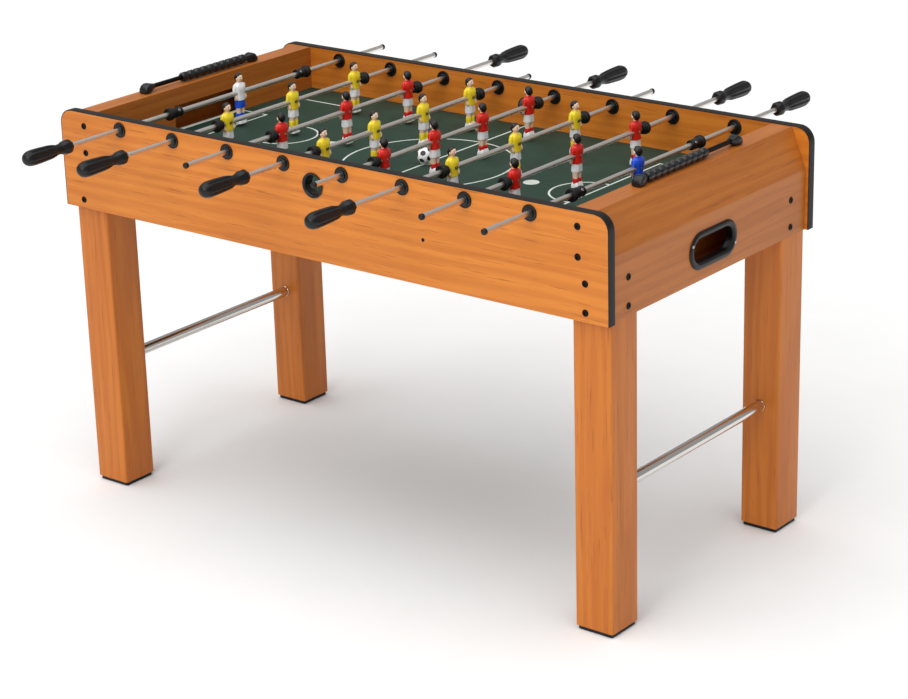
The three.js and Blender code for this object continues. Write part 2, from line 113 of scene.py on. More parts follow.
class NodeWiring:
    """A node tree being wired up, for a material or a node group."""

    def __init__(self, tree: Tree) -> None:
        """Keeps the tree that nodes are added to."""
        self.tree = tree

    def add(self, kind: str, settings: dict | None = None, **inputs: object) -> bpy.types.Node:
        """Adds a node, sets its options and fills or links its inputs.

        Args:
            kind: the node's type, without its first words "ShaderNode".
            settings: option names and values.
            **inputs: an input's name, with _ for a space, or in_N for input N; a socket is linked.

        Returns:
            The new node.
        """
        node = self.tree.nodes.new(f"ShaderNode{kind}")
        for option, value in (settings or {}).items():
            setattr(node, option, value)
        for name, value in inputs.items():
            socket = node.inputs[int(name[3:]) if name.startswith("in_") else name.replace("_", " ")]
            if isinstance(value, Socket):
                self.tree.links.new(value, socket)
            else:
                socket.default_value = value
        return node

    def math(self, operation: str, first: object, second: object = 0.0) -> Socket:
        """The result of a Math node on two numbers or sockets."""
        return self.add("Math", {"operation": operation}, in_0=first, in_1=second).outputs[0]

    def vector_math(self, operation: str, **inputs: object) -> Socket:
        """The vector that a Vector Math node gives."""
        return self.add("VectorMath", {"operation": operation}, **inputs).outputs[0]

    def between(self, value: Socket, low: float, high: float, to_low: float = 0.0,
                to_high: float = 1.0) -> Socket:
        """Carries a value smoothly from the range low..high, which may run down, to another range."""
        return self.add("MapRange", {"interpolation_type": "SMOOTHSTEP"}, Value=value, From_Min=low,
                        From_Max=high, To_Min=to_low, To_Max=to_high).outputs["Result"]

    def mix(self, share: object, first: object, second: object) -> Socket:
        """Mixes two colours; the share is how much of the second."""
        return self.add("Mix", {"data_type": "RGBA"}, in_0=share, in_6=first, in_7=second).outputs[2]

    def noise(self, vector: Socket, scale: float, stretch: Vec, detail: float = 3.0) -> Socket:
        """A stretched noise pattern.

        Args:
            vector: the coordinates.
            scale: the pattern's fineness, per metre.
            stretch: the fineness along each axis, as a share of scale.
            detail: how many finer layers are added.

        Returns:
            The pattern's value.
        """
        scaled = self.vector_math("MULTIPLY", in_0=vector, in_1=stretch)
        return self.add("TexNoise", Vector=scaled, Scale=scale, Detail=detail).outputs["Fac"]


class EffectGroup:
    """A node group with named inputs and outputs, made once and then placed in any material."""

    def __init__(self, name: str, outputs: dict[str, str], **inputs: object) -> None:
        """Makes the group's tree and its sockets.

        Args:
            name: the group's name.
            outputs: each output's name, with its socket type.
            **inputs: each input's name and default, whose length gives the socket's type.
        """
        self.tree = bpy.data.node_groups.new(name, "ShaderNodeTree")
        for label, default in inputs.items():
            kind = {3: VECTOR, 4: COLOUR}[len(default)] if isinstance(default, tuple) else VALUE
            socket = self.tree.interface.new_socket(label, in_out="INPUT", socket_type=kind)
            socket.default_value = default
        for label, kind in outputs.items():
            self.tree.interface.new_socket(label, in_out="OUTPUT", socket_type=kind)
        self.wiring = NodeWiring(self.tree)
        self.given = list(self.tree.nodes.new("NodeGroupInput").outputs)[:len(inputs)]
        self.exit = self.tree.nodes.new("NodeGroupOutput")

    def give(self, **sockets: Socket) -> Tree:
        """Sends sockets out of the group under the given names, and gives its tree."""
        for label, socket in sockets.items():
            self.tree.links.new(socket, self.exit.inputs[label])
        return self.tree


SURFACE = {"Color": COLOUR, "Roughness": VALUE, "Height": VALUE}


def laminate_grain_group() -> Tree:
    """Printed cherry grain along the pattern's X axis: broad arches, long streaks and short pores.

    The arches are a wave across the board bent by slow noise, the streaks a noise stretched along the
    grain, and the pores the same noise, finer and cut off so that only its lowest parts show.

    Returns:
        The group, with outputs Color, Roughness and Height.
    """
    group = EffectGroup("laminate_grain", SURFACE, Vector=(0, 0, 0), Light=WHITE, Middle=WHITE, Dark=BLACK,
                        Gloss=0.35)
    vector, light, middle, dark, gloss = group.given
    wiring = group.wiring
    squeezed = wiring.vector_math("MULTIPLY", in_0=vector, in_1=(0.55, 4.2, 4.2))
    arches = wiring.add("TexWave", {"wave_type": "BANDS", "bands_direction": "Z"}, Vector=squeezed,
                        Scale=3.4, Distortion=7.5, Detail=2.0, Detail_Scale=1.1)
    streaks = wiring.noise(vector, 60.0, (0.045, 1.0, 1.0), 5.0)
    blotches = wiring.noise(vector, 7.0, (0.35, 1.0, 1.0), 2.0)
    pores = wiring.noise(vector, 420.0, (0.03, 1.0, 1.0), 2.0)
    arch_share = wiring.math("MULTIPLY", wiring.between(arches.outputs["Fac"], 0.25, 0.95), 0.42)
    streak_mask = wiring.between(streaks, 0.42, 0.68)
    pore_mask = wiring.between(pores, 0.38, 0.30)
    warm = wiring.mix(arch_share, light, middle)
    streaked = wiring.mix(wiring.math("MULTIPLY", streak_mask, 0.5), warm, middle)
    clouded = wiring.mix(wiring.between(blotches, 0.48, 0.8, 0.0, 0.22), streaked, dark)
    return group.give(
        Color=wiring.mix(wiring.math("MULTIPLY", pore_mask, 0.5), clouded, dark),
        Roughness=wiring.math("ADD", gloss, wiring.math("MULTIPLY", streaks, 0.14)),
        Height=wiring.math("SUBTRACT", wiring.math("MULTIPLY", streaks, 0.3), pore_mask),
    )


def moulded_skin_group() -> Tree:
    """The skin of a moulded or painted piece: a slow change of shade and a fine pebbled texture."""
    group = EffectGroup("moulded_skin", SURFACE, Vector=(0, 0, 0), Base=WHITE, Worn=WHITE, Gloss=0.4,
                        Fineness=1.0)
    vector, base, worn, gloss, fineness = group.given
    wiring = group.wiring
    scaled = wiring.vector_math("SCALE", in_0=vector, Scale=fineness)
    slow = wiring.noise(scaled, 45.0, WHITE[:3], 3.0)
    fine = wiring.noise(scaled, 900.0, WHITE[:3], 2.0)
    return group.give(
        Color=wiring.mix(wiring.between(slow, 0.4, 0.72), base, worn),
        Roughness=wiring.math("ADD", gloss, wiring.math("MULTIPLY", slow, 0.16)),
        Height=fine,
    )


def drawn_metal_group() -> Tree:
    """Bright drawn metal: fine lines along the pattern's X axis and faint cloudy patches."""
    group = EffectGroup("drawn_metal", SURFACE, Vector=(0, 0, 0), Base=WHITE, Shade=BLACK, Gloss=0.25,
                        Lines=0.2)
    vector, base, shade, gloss, strength = group.given
    wiring = group.wiring
    lines = wiring.noise(vector, 2400.0, (0.008, 1.0, 1.0), 3.0)
    clouds = wiring.noise(vector, 22.0, WHITE[:3], 3.0)
    line_share = wiring.math("MULTIPLY", wiring.between(lines, 0.35, 0.7), strength)
    lined = wiring.mix(line_share, base, shade)
    rough = wiring.math("ADD", wiring.math("MULTIPLY", line_share, 0.5), wiring.math("MULTIPLY", clouds, 0.1))
    return group.give(
        Color=wiring.mix(wiring.between(clouds, 0.5, 0.8, 0.0, 0.15), lined, shade),
        Roughness=wiring.math("ADD", gloss, rough),
        Height=lines,
    )


def football_patch_group() -> Tree:
    """Twelve dark patches round a ball: a point is dark when it lies near an icosahedron's corner.

    The nearness is the largest of the cosines of the angles to the six axes through opposite corners.

    Returns:
        The group, with output Patch, 1 on a patch and 0 off it.
    """
    golden = (1 + math.sqrt(5)) / 2
    short, tall = 1 / math.hypot(1, golden), golden / math.hypot(1, golden)
    axes = [(0, short, tall), (0, short, -tall), (short, tall, 0), (short, -tall, 0), (tall, 0, short),
            (-tall, 0, short)]
    group = EffectGroup("football_patches", {"Patch": VALUE}, Vector=(0, 0, 1))
    wiring = group.wiring
    unit = wiring.vector_math("NORMALIZE", in_0=group.given[0])
    nearest = None
    for axis in axes:
        dot = wiring.add("VectorMath", {"operation": "DOT_PRODUCT"}, in_0=unit, in_1=axis)
        cosine = wiring.math("ABSOLUTE", dot.outputs["Value"])
        nearest = cosine if nearest is None else wiring.math("MAXIMUM", nearest, cosine)
    return group.give(Patch=wiring.between(nearest, 0.935, 0.943))


class Effects:
    """The shared node groups, each made the first time that a finish asks for it."""

    _makers = {"grain": laminate_grain_group, "skin": moulded_skin_group, "metal": drawn_metal_group,
               "patches": football_patch_group}
    _made: dict[str, Tree] = {}

    @classmethod
    def get(cls, name: str) -> Tree:
        """The node group of that name."""
        if name not in cls._made:
            cls._made[name] = cls._makers[name]()
        return cls._made[name]


# ---------------------------------------------------------------- finishes


@dataclass(frozen=True)
class Finish:
    """What every finish shares: a name, a gloss from its surface, and a material made once."""

    name: str
    specular: float = field(default=0.5, kw_only=True)

    def wire(self, wiring: NodeWiring, shader: bpy.types.Node, place: Socket) -> None:
        """Wires the finish into a Principled shader; each finish says how."""
        raise NotImplementedError

    def material(self) -> bpy.types.Material:
        """The finish as a Blender material, made at the first call."""
        label = f"{self.name}_finish"
        if label in bpy.data.materials:
            return bpy.data.materials[label]
        made = bpy.data.materials.new(label)
        made.use_nodes = True
        shader = made.node_tree.nodes["Principled BSDF"]
        wiring = NodeWiring(made.node_tree)
        self.wire(wiring, shader, wiring.add("TexCoord").outputs["Object"])
        shader.inputs["Specular IOR Level"].default_value = self.specular
        return made

    @staticmethod
    def place_effect(wiring: NodeWiring, shader: bpy.types.Node, effect: str, bump: float,
                     **inputs: object) -> bpy.types.Node:
        """Places a shared effect and feeds its colour, roughness and height to the shader.

        Args:
            wiring: the material's wiring.
            shader: the Principled shader.
            effect: the effect's name.
            bump: the bump's depth in metres.
            **inputs: the effect's own inputs.

        Returns:
            The placed group node.
        """
        group = wiring.add("Group", {"node_tree": Effects.get(effect)}, **inputs)
        links = wiring.tree.links
        links.new(group.outputs["Color"], shader.inputs["Base Color"])
        links.new(group.outputs["Roughness"], shader.inputs["Roughness"])
        bumped = wiring.add("Bump", None, Strength=1.0, Distance=bump, Height=group.outputs["Height"])
        links.new(bumped.outputs["Normal"], shader.inputs["Normal"])
        return group


@dataclass(frozen=True)
class CherryLaminate(Finish):
    """Printed cherry paper on board under a satin lacquer, with the grain along one axis."""

    light: Rgb
    middle: Rgb
    dark: Rgb
    grain: Grain = Grain.ALONG_X
    gloss: float = 0.34
    bump: float = 0.02 * MM
    coat: float = 0.12
    coat_roughness: float = 0.3
    specular: float = field(default=0.28, kw_only=True)

    def wire(self, wiring: NodeWiring, shader: bpy.types.Node, place: Socket) -> None:
        """Turns the pattern to the board's grain and gives it a thin clear coat."""
        along = wiring.add("Mapping", None, Vector=place, Rotation=self.grain.value).outputs[0]
        self.place_effect(wiring, shader, "grain", self.bump, Vector=along, Light=srgb(*self.light),
                          Middle=srgb(*self.middle), Dark=srgb(*self.dark), Gloss=self.gloss)
        shader.inputs["Coat Weight"].default_value = self.coat
        shader.inputs["Coat Roughness"].default_value = self.coat_roughness


@dataclass(frozen=True)
class Moulded(Finish):
    """Moulded plastic, rubber or enamel paint of one colour."""

    colour: Rgb
    worn: Rgb
    gloss: float
    coat: float = 0.0
    pebble: float = 0.01 * MM
    fineness: float = 1.0
    coat_roughness: float = 0.12
    specular: float = field(default=0.35, kw_only=True)

    def wire(self, wiring: NodeWiring, shader: bpy.types.Node, place: Socket) -> None:
        """Puts the moulded skin on the shader, with a clear coat where the finish has one."""
        self.place_effect(wiring, shader, "skin", self.pebble, Vector=place, Base=srgb(*self.colour),
                          Worn=srgb(*self.worn), Gloss=self.gloss, Fineness=self.fineness)
        shader.inputs["Coat Weight"].default_value = self.coat
        shader.inputs["Coat Roughness"].default_value = self.coat_roughness


@dataclass(frozen=True)
class DrawnMetal(Finish):
    """Plated or polished metal drawn along Y."""

    colour: Rgb
    shade: Rgb
    gloss: float
    lines: float = 0.35
    bump: float = 0.004 * MM

    def wire(self, wiring: NodeWiring, shader: bpy.types.Node, place: Socket) -> None:
        """Turns the drawn lines along Y and makes the shader metallic."""
        along = wiring.add("Mapping", None, Vector=place, Rotation=Grain.ALONG_Y.value).outputs[0]
        self.place_effect(wiring, shader, "metal", self.bump, Vector=along, Base=srgb(*self.colour),
                          Shade=srgb(*self.shade), Gloss=self.gloss, Lines=self.lines)
        shader.inputs["Metallic"].default_value = 1.0


@dataclass(frozen=True)
class FootballPlastic(Finish):
    """White ball plastic with dark patches, centred on the ball."""

    centre: tuple = ORIGIN
    tilt: tuple = (0.5, 0.3, 0.2)
    white: Rgb = (250, 250, 251)
    cream: Rgb = (238, 239, 240)
    black: Rgb = (22, 22, 26)
    gloss: float = 0.3
    bump: float = 0.01 * MM

    def wire(self, wiring: NodeWiring, shader: bpy.types.Node, place: Socket) -> None:
        """Lays the patches over the moulded skin."""
        skin = self.place_effect(wiring, shader, "skin", self.bump, Vector=place, Base=srgb(*self.white),
                                 Worn=srgb(*self.cream), Gloss=self.gloss, Fineness=1.0)
        centred = wiring.vector_math("SUBTRACT", in_0=place, in_1=self.centre)
        tilted = wiring.add("Mapping", None, Vector=centred, Rotation=self.tilt).outputs[0]
        patches = wiring.add("Group", {"node_tree": Effects.get("patches")}, Vector=tilted)
        colour = wiring.mix(patches.outputs["Patch"], skin.outputs["Color"], srgb(*self.black))
        wiring.tree.links.new(colour, shader.inputs["Base Color"])


SIDE_BOARD = CherryLaminate("cherry_side_board", (210, 126, 42), (186, 101, 27), (144, 69, 16))
# The end boards use the same cherry laminate as the side boards, with the grain along Y, but in darker
# colours: painted shade for the end walls.
SHADED_END_BOARD = CherryLaminate("cherry_end_board_painted_shade", (186, 110, 42), (166, 91, 31), (134, 70, 22), Grain.ALONG_Y)
LEG_BOARD = CherryLaminate("cherry_leg_board", (200, 116, 38), (178, 94, 27), (140, 68, 18), Grain.ALONG_Z)
FIELD_GREEN = Moulded("field_green", (30, 58, 46), (36, 66, 53), 0.5, fineness=0.35, specular=0.3)
FIELD_WHITE = Moulded("field_white", (218, 226, 218), (200, 210, 200), 0.4)
EDGE_BAND = Moulded("edge_band_black", (18, 15, 14), (28, 24, 22), 0.4, specular=0.28)
BLACK_PLASTIC = Moulded("black_plastic", (8, 8, 9), (14, 14, 16), 0.28, specular=0.36)
GRIP_PLASTIC = Moulded("grip_plastic", (7, 7, 8), (13, 13, 15), 0.32, pebble=0.03 * MM, specular=0.36)
RUBBER = Moulded("bumper_rubber", (10, 10, 11), (18, 18, 19), 0.46, pebble=0.02 * MM, specular=0.34)
BEAD_GLOSS = Moulded("bead_gloss", (12, 13, 16), (19, 20, 24), 0.18, 0.4)
BLACK_PAINT = Moulded("black_paint", (10, 11, 12), (17, 18, 19), 0.28, 0.2)
BLACK_STEEL = DrawnMetal("black_steel", (40, 37, 35), (16, 14, 14), 0.35)
BRIGHT_STEEL = DrawnMetal("bright_steel", (214, 214, 214), (150, 150, 150), 0.18)
ROD_STEEL = DrawnMetal("rod_steel", (236, 232, 226), (176, 170, 162), 0.24, 0.2)
CHROME = DrawnMetal("chrome", (224, 222, 218), (170, 168, 164), 0.10, 0.1)
SKIN = Moulded("painted_skin", (250, 218, 190), (243, 206, 174), 0.3, 0.3)
HAIR = Moulded("painted_hair", (9, 7, 7), (15, 12, 12), 0.3, 0.2)
LIPS = Moulded("painted_mouth", (186, 108, 92), (176, 98, 84), 0.3)
WHITE_PAINT = Moulded("painted_white", (251, 251, 252), (240, 240, 243), 0.26, 0.4)
YELLOW_PAINT = Moulded("painted_yellow", (250, 224, 46), (242, 210, 34), 0.26, 0.35)
RED_PAINT = Moulded("painted_red", (222, 34, 22), (204, 24, 15), 0.26, 0.35)
BLUE_PAINT = Moulded("painted_blue", (28, 88, 228), (22, 72, 202), 0.26, 0.35)
SHIRT_MARK = Moulded("shirt_number_paint", (52, 58, 30), (66, 70, 38), 0.35)
FLOOR_PAINT = Moulded("studio_floor_paint", (246, 246, 246), (244, 244, 244), 0.7, pebble=0.0001 * MM,
                      fineness=0.1)


# ---------------------------------------------------------------- surfaces as grids of points


def filleted(corners: Points, radius: float, steps: int = 4, closed: bool = False) -> np.ndarray:
    """Rounds the corners of a polyline.

    Each corner B becomes the parabola (1-t)^2 A + 2t(1-t) B + t^2 C, where A and C lie at most the radius
    away from B along its two sides, and never past the middle of a side.

    Args:
        corners: the points, each of two or three coordinates.
        radius: how far from a corner the rounding starts.
        steps: how many stretches each rounding has.
        closed: whether the last point joins the first.

    Returns:
        The rounded line; a closed one ends on its first point again.
    """
    points = np.asarray(corners, float)
    ends = []
    for near in (np.roll(points, 1, axis=0), np.roll(points, -1, axis=0)):
        reach = np.linalg.norm(near - points, axis=1, keepdims=True)
        ends.append((points + (near - points) * np.minimum(0.499, radius / np.maximum(reach, 1e-9)))[:, None])
    t = np.linspace(0, 1, steps + 1)[None, :, None]
    curve = (1 - t) ** 2 * ends[0] + 2 * t * (1 - t) * points[:, None] + t ** 2 * ends[1]
    if closed:
        return loop_closed(curve.reshape(-1, points.shape[1]))
    return np.vstack([points[:1], curve[1:-1].reshape(-1, points.shape[1]), points[-1:]])


def circle(points: int) -> np.ndarray:
    """Angles once round, the last the same as the first."""
    return np.linspace(0, TURN, points + 1)


def turned(profile: Points, centre: Vec, axis: Vec, segments: int = 40) -> np.ndarray:
    """A surface of revolution: each profile point (radius, along) goes round the axis.

    Args:
        profile: radius and distance along the axis; it starts and ends on the axis or closes on itself.
        centre: where the distance along the axis is nought.
        axis: the axis, a unit vector.
        segments: how many faces go round.

    Returns:
        The grid, one row for each profile point.
    """
    radius, along = np.asarray(profile, float).T
    direction = np.asarray(axis, float)
    across = np.cross(direction, Z_AXIS if abs(direction[2]) < 0.9 else X_AXIS)
    across /= np.linalg.norm(across)
    upwards = np.cross(direction, across)
    angle = circle(segments)
    ring = np.cos(angle)[:, None] * across + np.sin(angle)[:, None] * upwards
    return np.asarray(centre) + along[:, None, None] * direction + radius[:, None, None] * ring[None]


def disc_closed(profile: Points) -> np.ndarray:
    """A profile brought back to the axis at both its ends, so that turning it gives a closed shell."""
    points = np.asarray(profile, float)
    return np.vstack([[0, points[0, 1]], points, [0, points[-1, 1]]])


def loop_closed(profile: Points) -> np.ndarray:
    """A profile that ends on its first point again, so that turning it gives a closed ring."""
    points = np.asarray(profile, float)
    return np.vstack([points, points[:1]])


def lofted(sections: np.ndarray) -> np.ndarray:
    """Carries closed outlines into one another and closes the first and last with a flat cap.

    Args:
        sections: one outline for each row, of shape (rows, points, 3), each ending on its first point.

    Returns:
        The grid, with a row shrunk to its middle at each end.
    """
    caps = sections[[0, -1]].mean(axis=1, keepdims=True) * np.ones_like(sections[:1])
    return np.concatenate([caps[:1], sections, caps[1:]])


def squared_circle(angle: np.ndarray, squareness: float) -> tuple[np.ndarray, np.ndarray]:
    """The signed powers |cos a|^(2/n) and |sin a|^(2/n) of a curve between a circle and a square.

    Args:
        angle: the angles a.
        squareness: n, 2 for a circle and more for a squarer curve.

    Returns:
        The two coordinates.
    """
    wave = (np.cos(angle), np.sin(angle))
    return tuple(np.sign(part) * np.abs(part) ** (2 / squareness) for part in wave)


def oval_sections(levels: Points, squareness: float = 2.4, points: int = 24) -> np.ndarray:
    """Outlines between an ellipse and a rectangle, one above the other.

    Args:
        levels: height, half depth along X, half width along Y, middle x and middle y, for each outline.
        squareness: 2 for an ellipse and more for a squarer outline.
        points: how many faces go round.

    Returns:
        The outlines, for lofted().
    """
    height, depth, width, middle_x, middle_y = np.asarray(levels, float).T[:, :, None]
    along, across = squared_circle(circle(points)[None], squareness)
    x = depth * along + middle_x
    return np.stack([x, width * across + middle_y, height + 0 * x], axis=-1)


def block_sections(levels: Points, radius: float, steps: int = 4) -> np.ndarray:
    """Rectangles with rounded corners, one above the other.

    Args:
        levels: height, low x, high x, low y and high y, for each rectangle.
        radius: the rounding of the corners.
        steps: how many faces each corner has.

    Returns:
        The outlines, for lofted().
    """
    outlines = []
    for height, x0, x1, y0, y1 in levels:
        flat = filleted([(x0, y0), (x1, y0), (x1, y1), (x0, y1)], radius, steps, closed=True)
        outlines.append(np.column_stack([flat, np.full(len(flat), height)]))
    return np.array(outlines)


def swept(path: np.ndarray, section: np.ndarray, across: Vec, closed: bool = False) -> np.ndarray:
    """Carries a section along a flat path.

    A point of the section (out, side) lies out times the path's outward normal and side times the
    direction across the path's plane away from the path. The normal is the tangent crossed with across.

    Args:
        path: the points to follow, in one plane.
        section: the section's outline, ending on its first point.
        across: the unit vector across the path's plane.
        closed: whether the path ends on its first point.

    Returns:
        The grid, with a row shrunk to its middle at each end of an open path.
    """
    side = np.asarray(across, float)
    if closed:
        tangent = loop_closed(np.roll(path[:-1], -1, axis=0) - np.roll(path[:-1], 1, axis=0))
    else:
        tangent = np.gradient(path, axis=0)
    tangent /= np.linalg.norm(tangent, axis=1, keepdims=True)
    normal = np.cross(tangent, side)
    grid = path[:, None] + section[None, :, :1] * normal[:, None] + section[None, :, 1:] * side
    return grid if closed else lofted(grid)


def limb(path: Points, radii: Vec, segments: int = 12) -> np.ndarray:
    """A round limb of changing thickness along a path that never runs along X.

    Args:
        path: the points of the limb's middle line.
        radii: its radius at each of them.
        segments: how many faces go round.

    Returns:
        The closed grid.
    """
    line = np.asarray(path, float)
    tangent = np.gradient(line, axis=0)
    tangent /= np.linalg.norm(tangent, axis=1, keepdims=True)
    first = np.cross(tangent, X_AXIS)
    first /= np.linalg.norm(first, axis=1, keepdims=True)
    second = np.cross(tangent, first)
    angle = circle(segments)[None, :, None]
    reach = np.asarray(radii, float)[:, None, None]
    return lofted(line[:, None] + reach * (np.cos(angle) * first[:, None] + np.sin(angle) * second[:, None]))


def ball_grid(centre: Vec, radii: Vec, rows: int = 12, segments: int = 20) -> np.ndarray:
    """An ellipsoid with its poles above and below.

    Args:
        centre: its middle.
        radii: its radius along X, Y and Z.
        rows, segments: how many faces go from pole to pole and round.

    Returns:
        The closed grid.
    """
    up = np.linspace(-np.pi / 2, np.pi / 2, rows + 1)[:, None]
    angle = circle(segments)[None]
    unit = np.stack([np.cos(up) * np.cos(angle), np.cos(up) * np.sin(angle), np.sin(up) + 0 * angle], axis=-1)
    return np.asarray(centre) + unit * np.asarray(radii)


# ---------------------------------------------------------------- pieces from shells


@dataclass
class Shell:
    """One closed surface of a piece: grids that meet edge to edge, and the finish on them."""

    grids: Sequence[np.ndarray]
    finish: Finish

    def welded(self) -> tuple[np.ndarray, list]:
        """Joins the grids at the points that they share.

        Returns:
            The points, and the faces as lists of point numbers, with pole faces as triangles.
        """
        quads, points, count = [], [], 0
        for grid in self.grids:
            rows, columns = grid.shape[:2]
            index = count + np.arange(rows * columns).reshape(rows, columns)
            corners = (index[:-1, :-1], index[1:, :-1], index[1:, 1:], index[:-1, 1:])
            quads.append(np.stack(corners, axis=-1).reshape(-1, 4))
            points.append(grid.reshape(-1, 3))
            count += rows * columns
        rounded = np.round(np.vstack(points), 7) + 0.0
        unique, where = np.unique(rounded, axis=0, return_inverse=True)
        faces = where.reshape(-1)[np.vstack(quads)]
        doubled = faces == np.roll(faces, -1, axis=1)
        pinched = doubled.sum(axis=1)
        whole, thirds = faces[pinched == 0], faces[pinched == 1]
        triangles = thirds[~doubled[pinched == 1]].reshape(-1, 3)
        proper = (whole[:, 0] != whole[:, 2]) & (whole[:, 1] != whole[:, 3])
        return unique, whole[proper].tolist() + triangles.tolist()

    def mapped(self, factor: object = 1.0, offset: Vec = ORIGIN) -> "Shell":
        """The shell with its points multiplied, by one number or one for each axis, and then moved."""
        return replace(self, grids=[grid * np.asarray(factor) + np.asarray(offset) for grid in self.grids])


@dataclass
class Piece:
    """A visible piece: its shells, the body it rides on, and the CAD nodes that it stands for."""

    name: str
    shells: Sequence[Shell]
    body: str = CABINET
    slot: str = "black_plastic"
    stands_for: Sequence[str] = ()
    crease_deg: float = 38.0

    def build(self) -> None:
        """Makes the Blender object, dresses it and ties it to its body."""
        points, faces, finishes, kinds, start = [], [], [], [], 0
        for shell in self.shells:
            shell_points, shell_faces = shell.welded()
            points.append(shell_points)
            faces += [[corner + start for corner in face] for face in shell_faces]
            start += len(shell_points)
            if shell.finish not in finishes:
                finishes.append(shell.finish)
            kinds += [finishes.index(shell.finish)] * len(shell_faces)
        mesh = bpy.data.meshes.new(self.name)
        mesh.from_pydata(np.vstack(points).tolist(), [], faces)
        mesh.polygons.foreach_set("material_index", kinds)
        for finish in finishes:
            mesh.materials.append(finish.material())
        work = bmesh.new()
        work.from_mesh(mesh)
        bmesh.ops.recalc_face_normals(work, faces=work.faces)
        work.to_mesh(mesh)
        work.free()
        mesh.polygons.foreach_set("use_smooth", [True] * len(mesh.polygons))
        mesh.set_sharp_from_angle(angle=math.radians(self.crease_deg))
        made = placed(self.name, mesh)
        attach(made, self.body)
        if self.stands_for:
            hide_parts(*self.stands_for)
        log.info("%s: %d faces on %s", self.name, len(mesh.polygons), self.body)


def dress_node(node: str, finish: Finish) -> None:
    """Gives a CAD node that stays visible its finish."""
    mesh = frame["nodes"][node].data
    mesh.materials.clear()
    mesh.materials.append(finish.material())
    log.info("%s keeps its CAD shape in %s", node, finish.name)


# ---------------------------------------------------------------- places read from the frame


def joint(name: str) -> dict:
    """The frame's joint of that name."""
    return next(known for known in frame["joints"] if known["name"] == name)


@dataclass(frozen=True)
class Layout:
    """Where the main faces of the table are."""

    bearing_stand_out: float
    top: float
    bottom: float
    half_length: float
    outer_y: float
    inner_y: float
    field_z: float
    wall_x: float
    cup_z: float
    rods: dict[str, float]
    rod_z: float

    @classmethod
    def read(cls, bearing_stand_out: float = 5 * MM) -> "Layout":
        """Works the places out from the frame's nodes and joints.

        Args:
            bearing_stand_out: how far a bearing stands out of a side board's face.

        Returns:
            The layout.
        """
        low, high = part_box("back_side_panel")
        cup_low, cup_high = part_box("back_ball_entry_cup")
        turns = [known for known in frame["joints"] if known["name"].endswith("_turn")]
        return cls(
            bearing_stand_out=bearing_stand_out, top=high.z, bottom=low.z, half_length=high.x,
            outer_y=high.y - bearing_stand_out, inner_y=low.y + bearing_stand_out,
            field_z=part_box("playfield")[1].z, wall_x=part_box("right_goal_box")[0].x,
            cup_z=(cup_low.z + cup_high.z) / 2,
            rods={turn["name"].removesuffix("_turn"): turn["pos_m"][0] for turn in turns},
            rod_z=turns[0]["pos_m"][2],
        )


class Signed(Enum):
    """A side of the table, by the sign of its axis."""

    @property
    def label(self) -> str:
        """The side as a word."""
        return self.name.lower()


class Side(Signed):
    """The two long sides of the table, by the sign of Y."""

    FRONT = -1
    BACK = 1


class End(Signed):
    """The two ends of the table, by the sign of X."""

    LEFT = -1
    RIGHT = 1


def socket_bolt(centre: Vec, outwards: Vec, radius: float, finish: Finish = BLACK_STEEL) -> Shell:
    """A low round bolt head with a six-sided socket.

    Each ring lies at its own height; the socket's ring is at apothem / cos(a mod 60 deg - 30 deg).

    Args:
        centre: the middle of the head's seat.
        outwards: the direction that the head faces.
        radius: the head's radius.
        finish: what the bolt is made of.

    Returns:
        The head's shell.
    """
    # radius and height, as shares of the head's radius and of its height
    shares = np.array([(0, -0.3), (1, -0.3), (1, 0.35), (0.88, 0.85), (0.62, 1), (0.5, 1), (0.46, 0.15),
                       (0, 0.15)])
    profile = shares * (radius, 0.28 * radius)
    profile[[0, -1], 0] = 1e-9
    segments, socket_rings = 36, slice(5, 7)
    grid = turned(profile, ORIGIN, outwards, segments)
    hexagon = math.cos(math.pi / 6) / np.cos(np.mod(circle(segments), math.pi / 3) - math.pi / 6)
    along = (grid @ np.asarray(outwards, float))[..., None] * np.asarray(outwards, float)
    grid[socket_rings] = (along + (grid - along) * hexagon[None, :, None])[socket_rings]
    return Shell([grid + np.asarray(centre, float)], finish)


# ---------------------------------------------------------------- cabinet


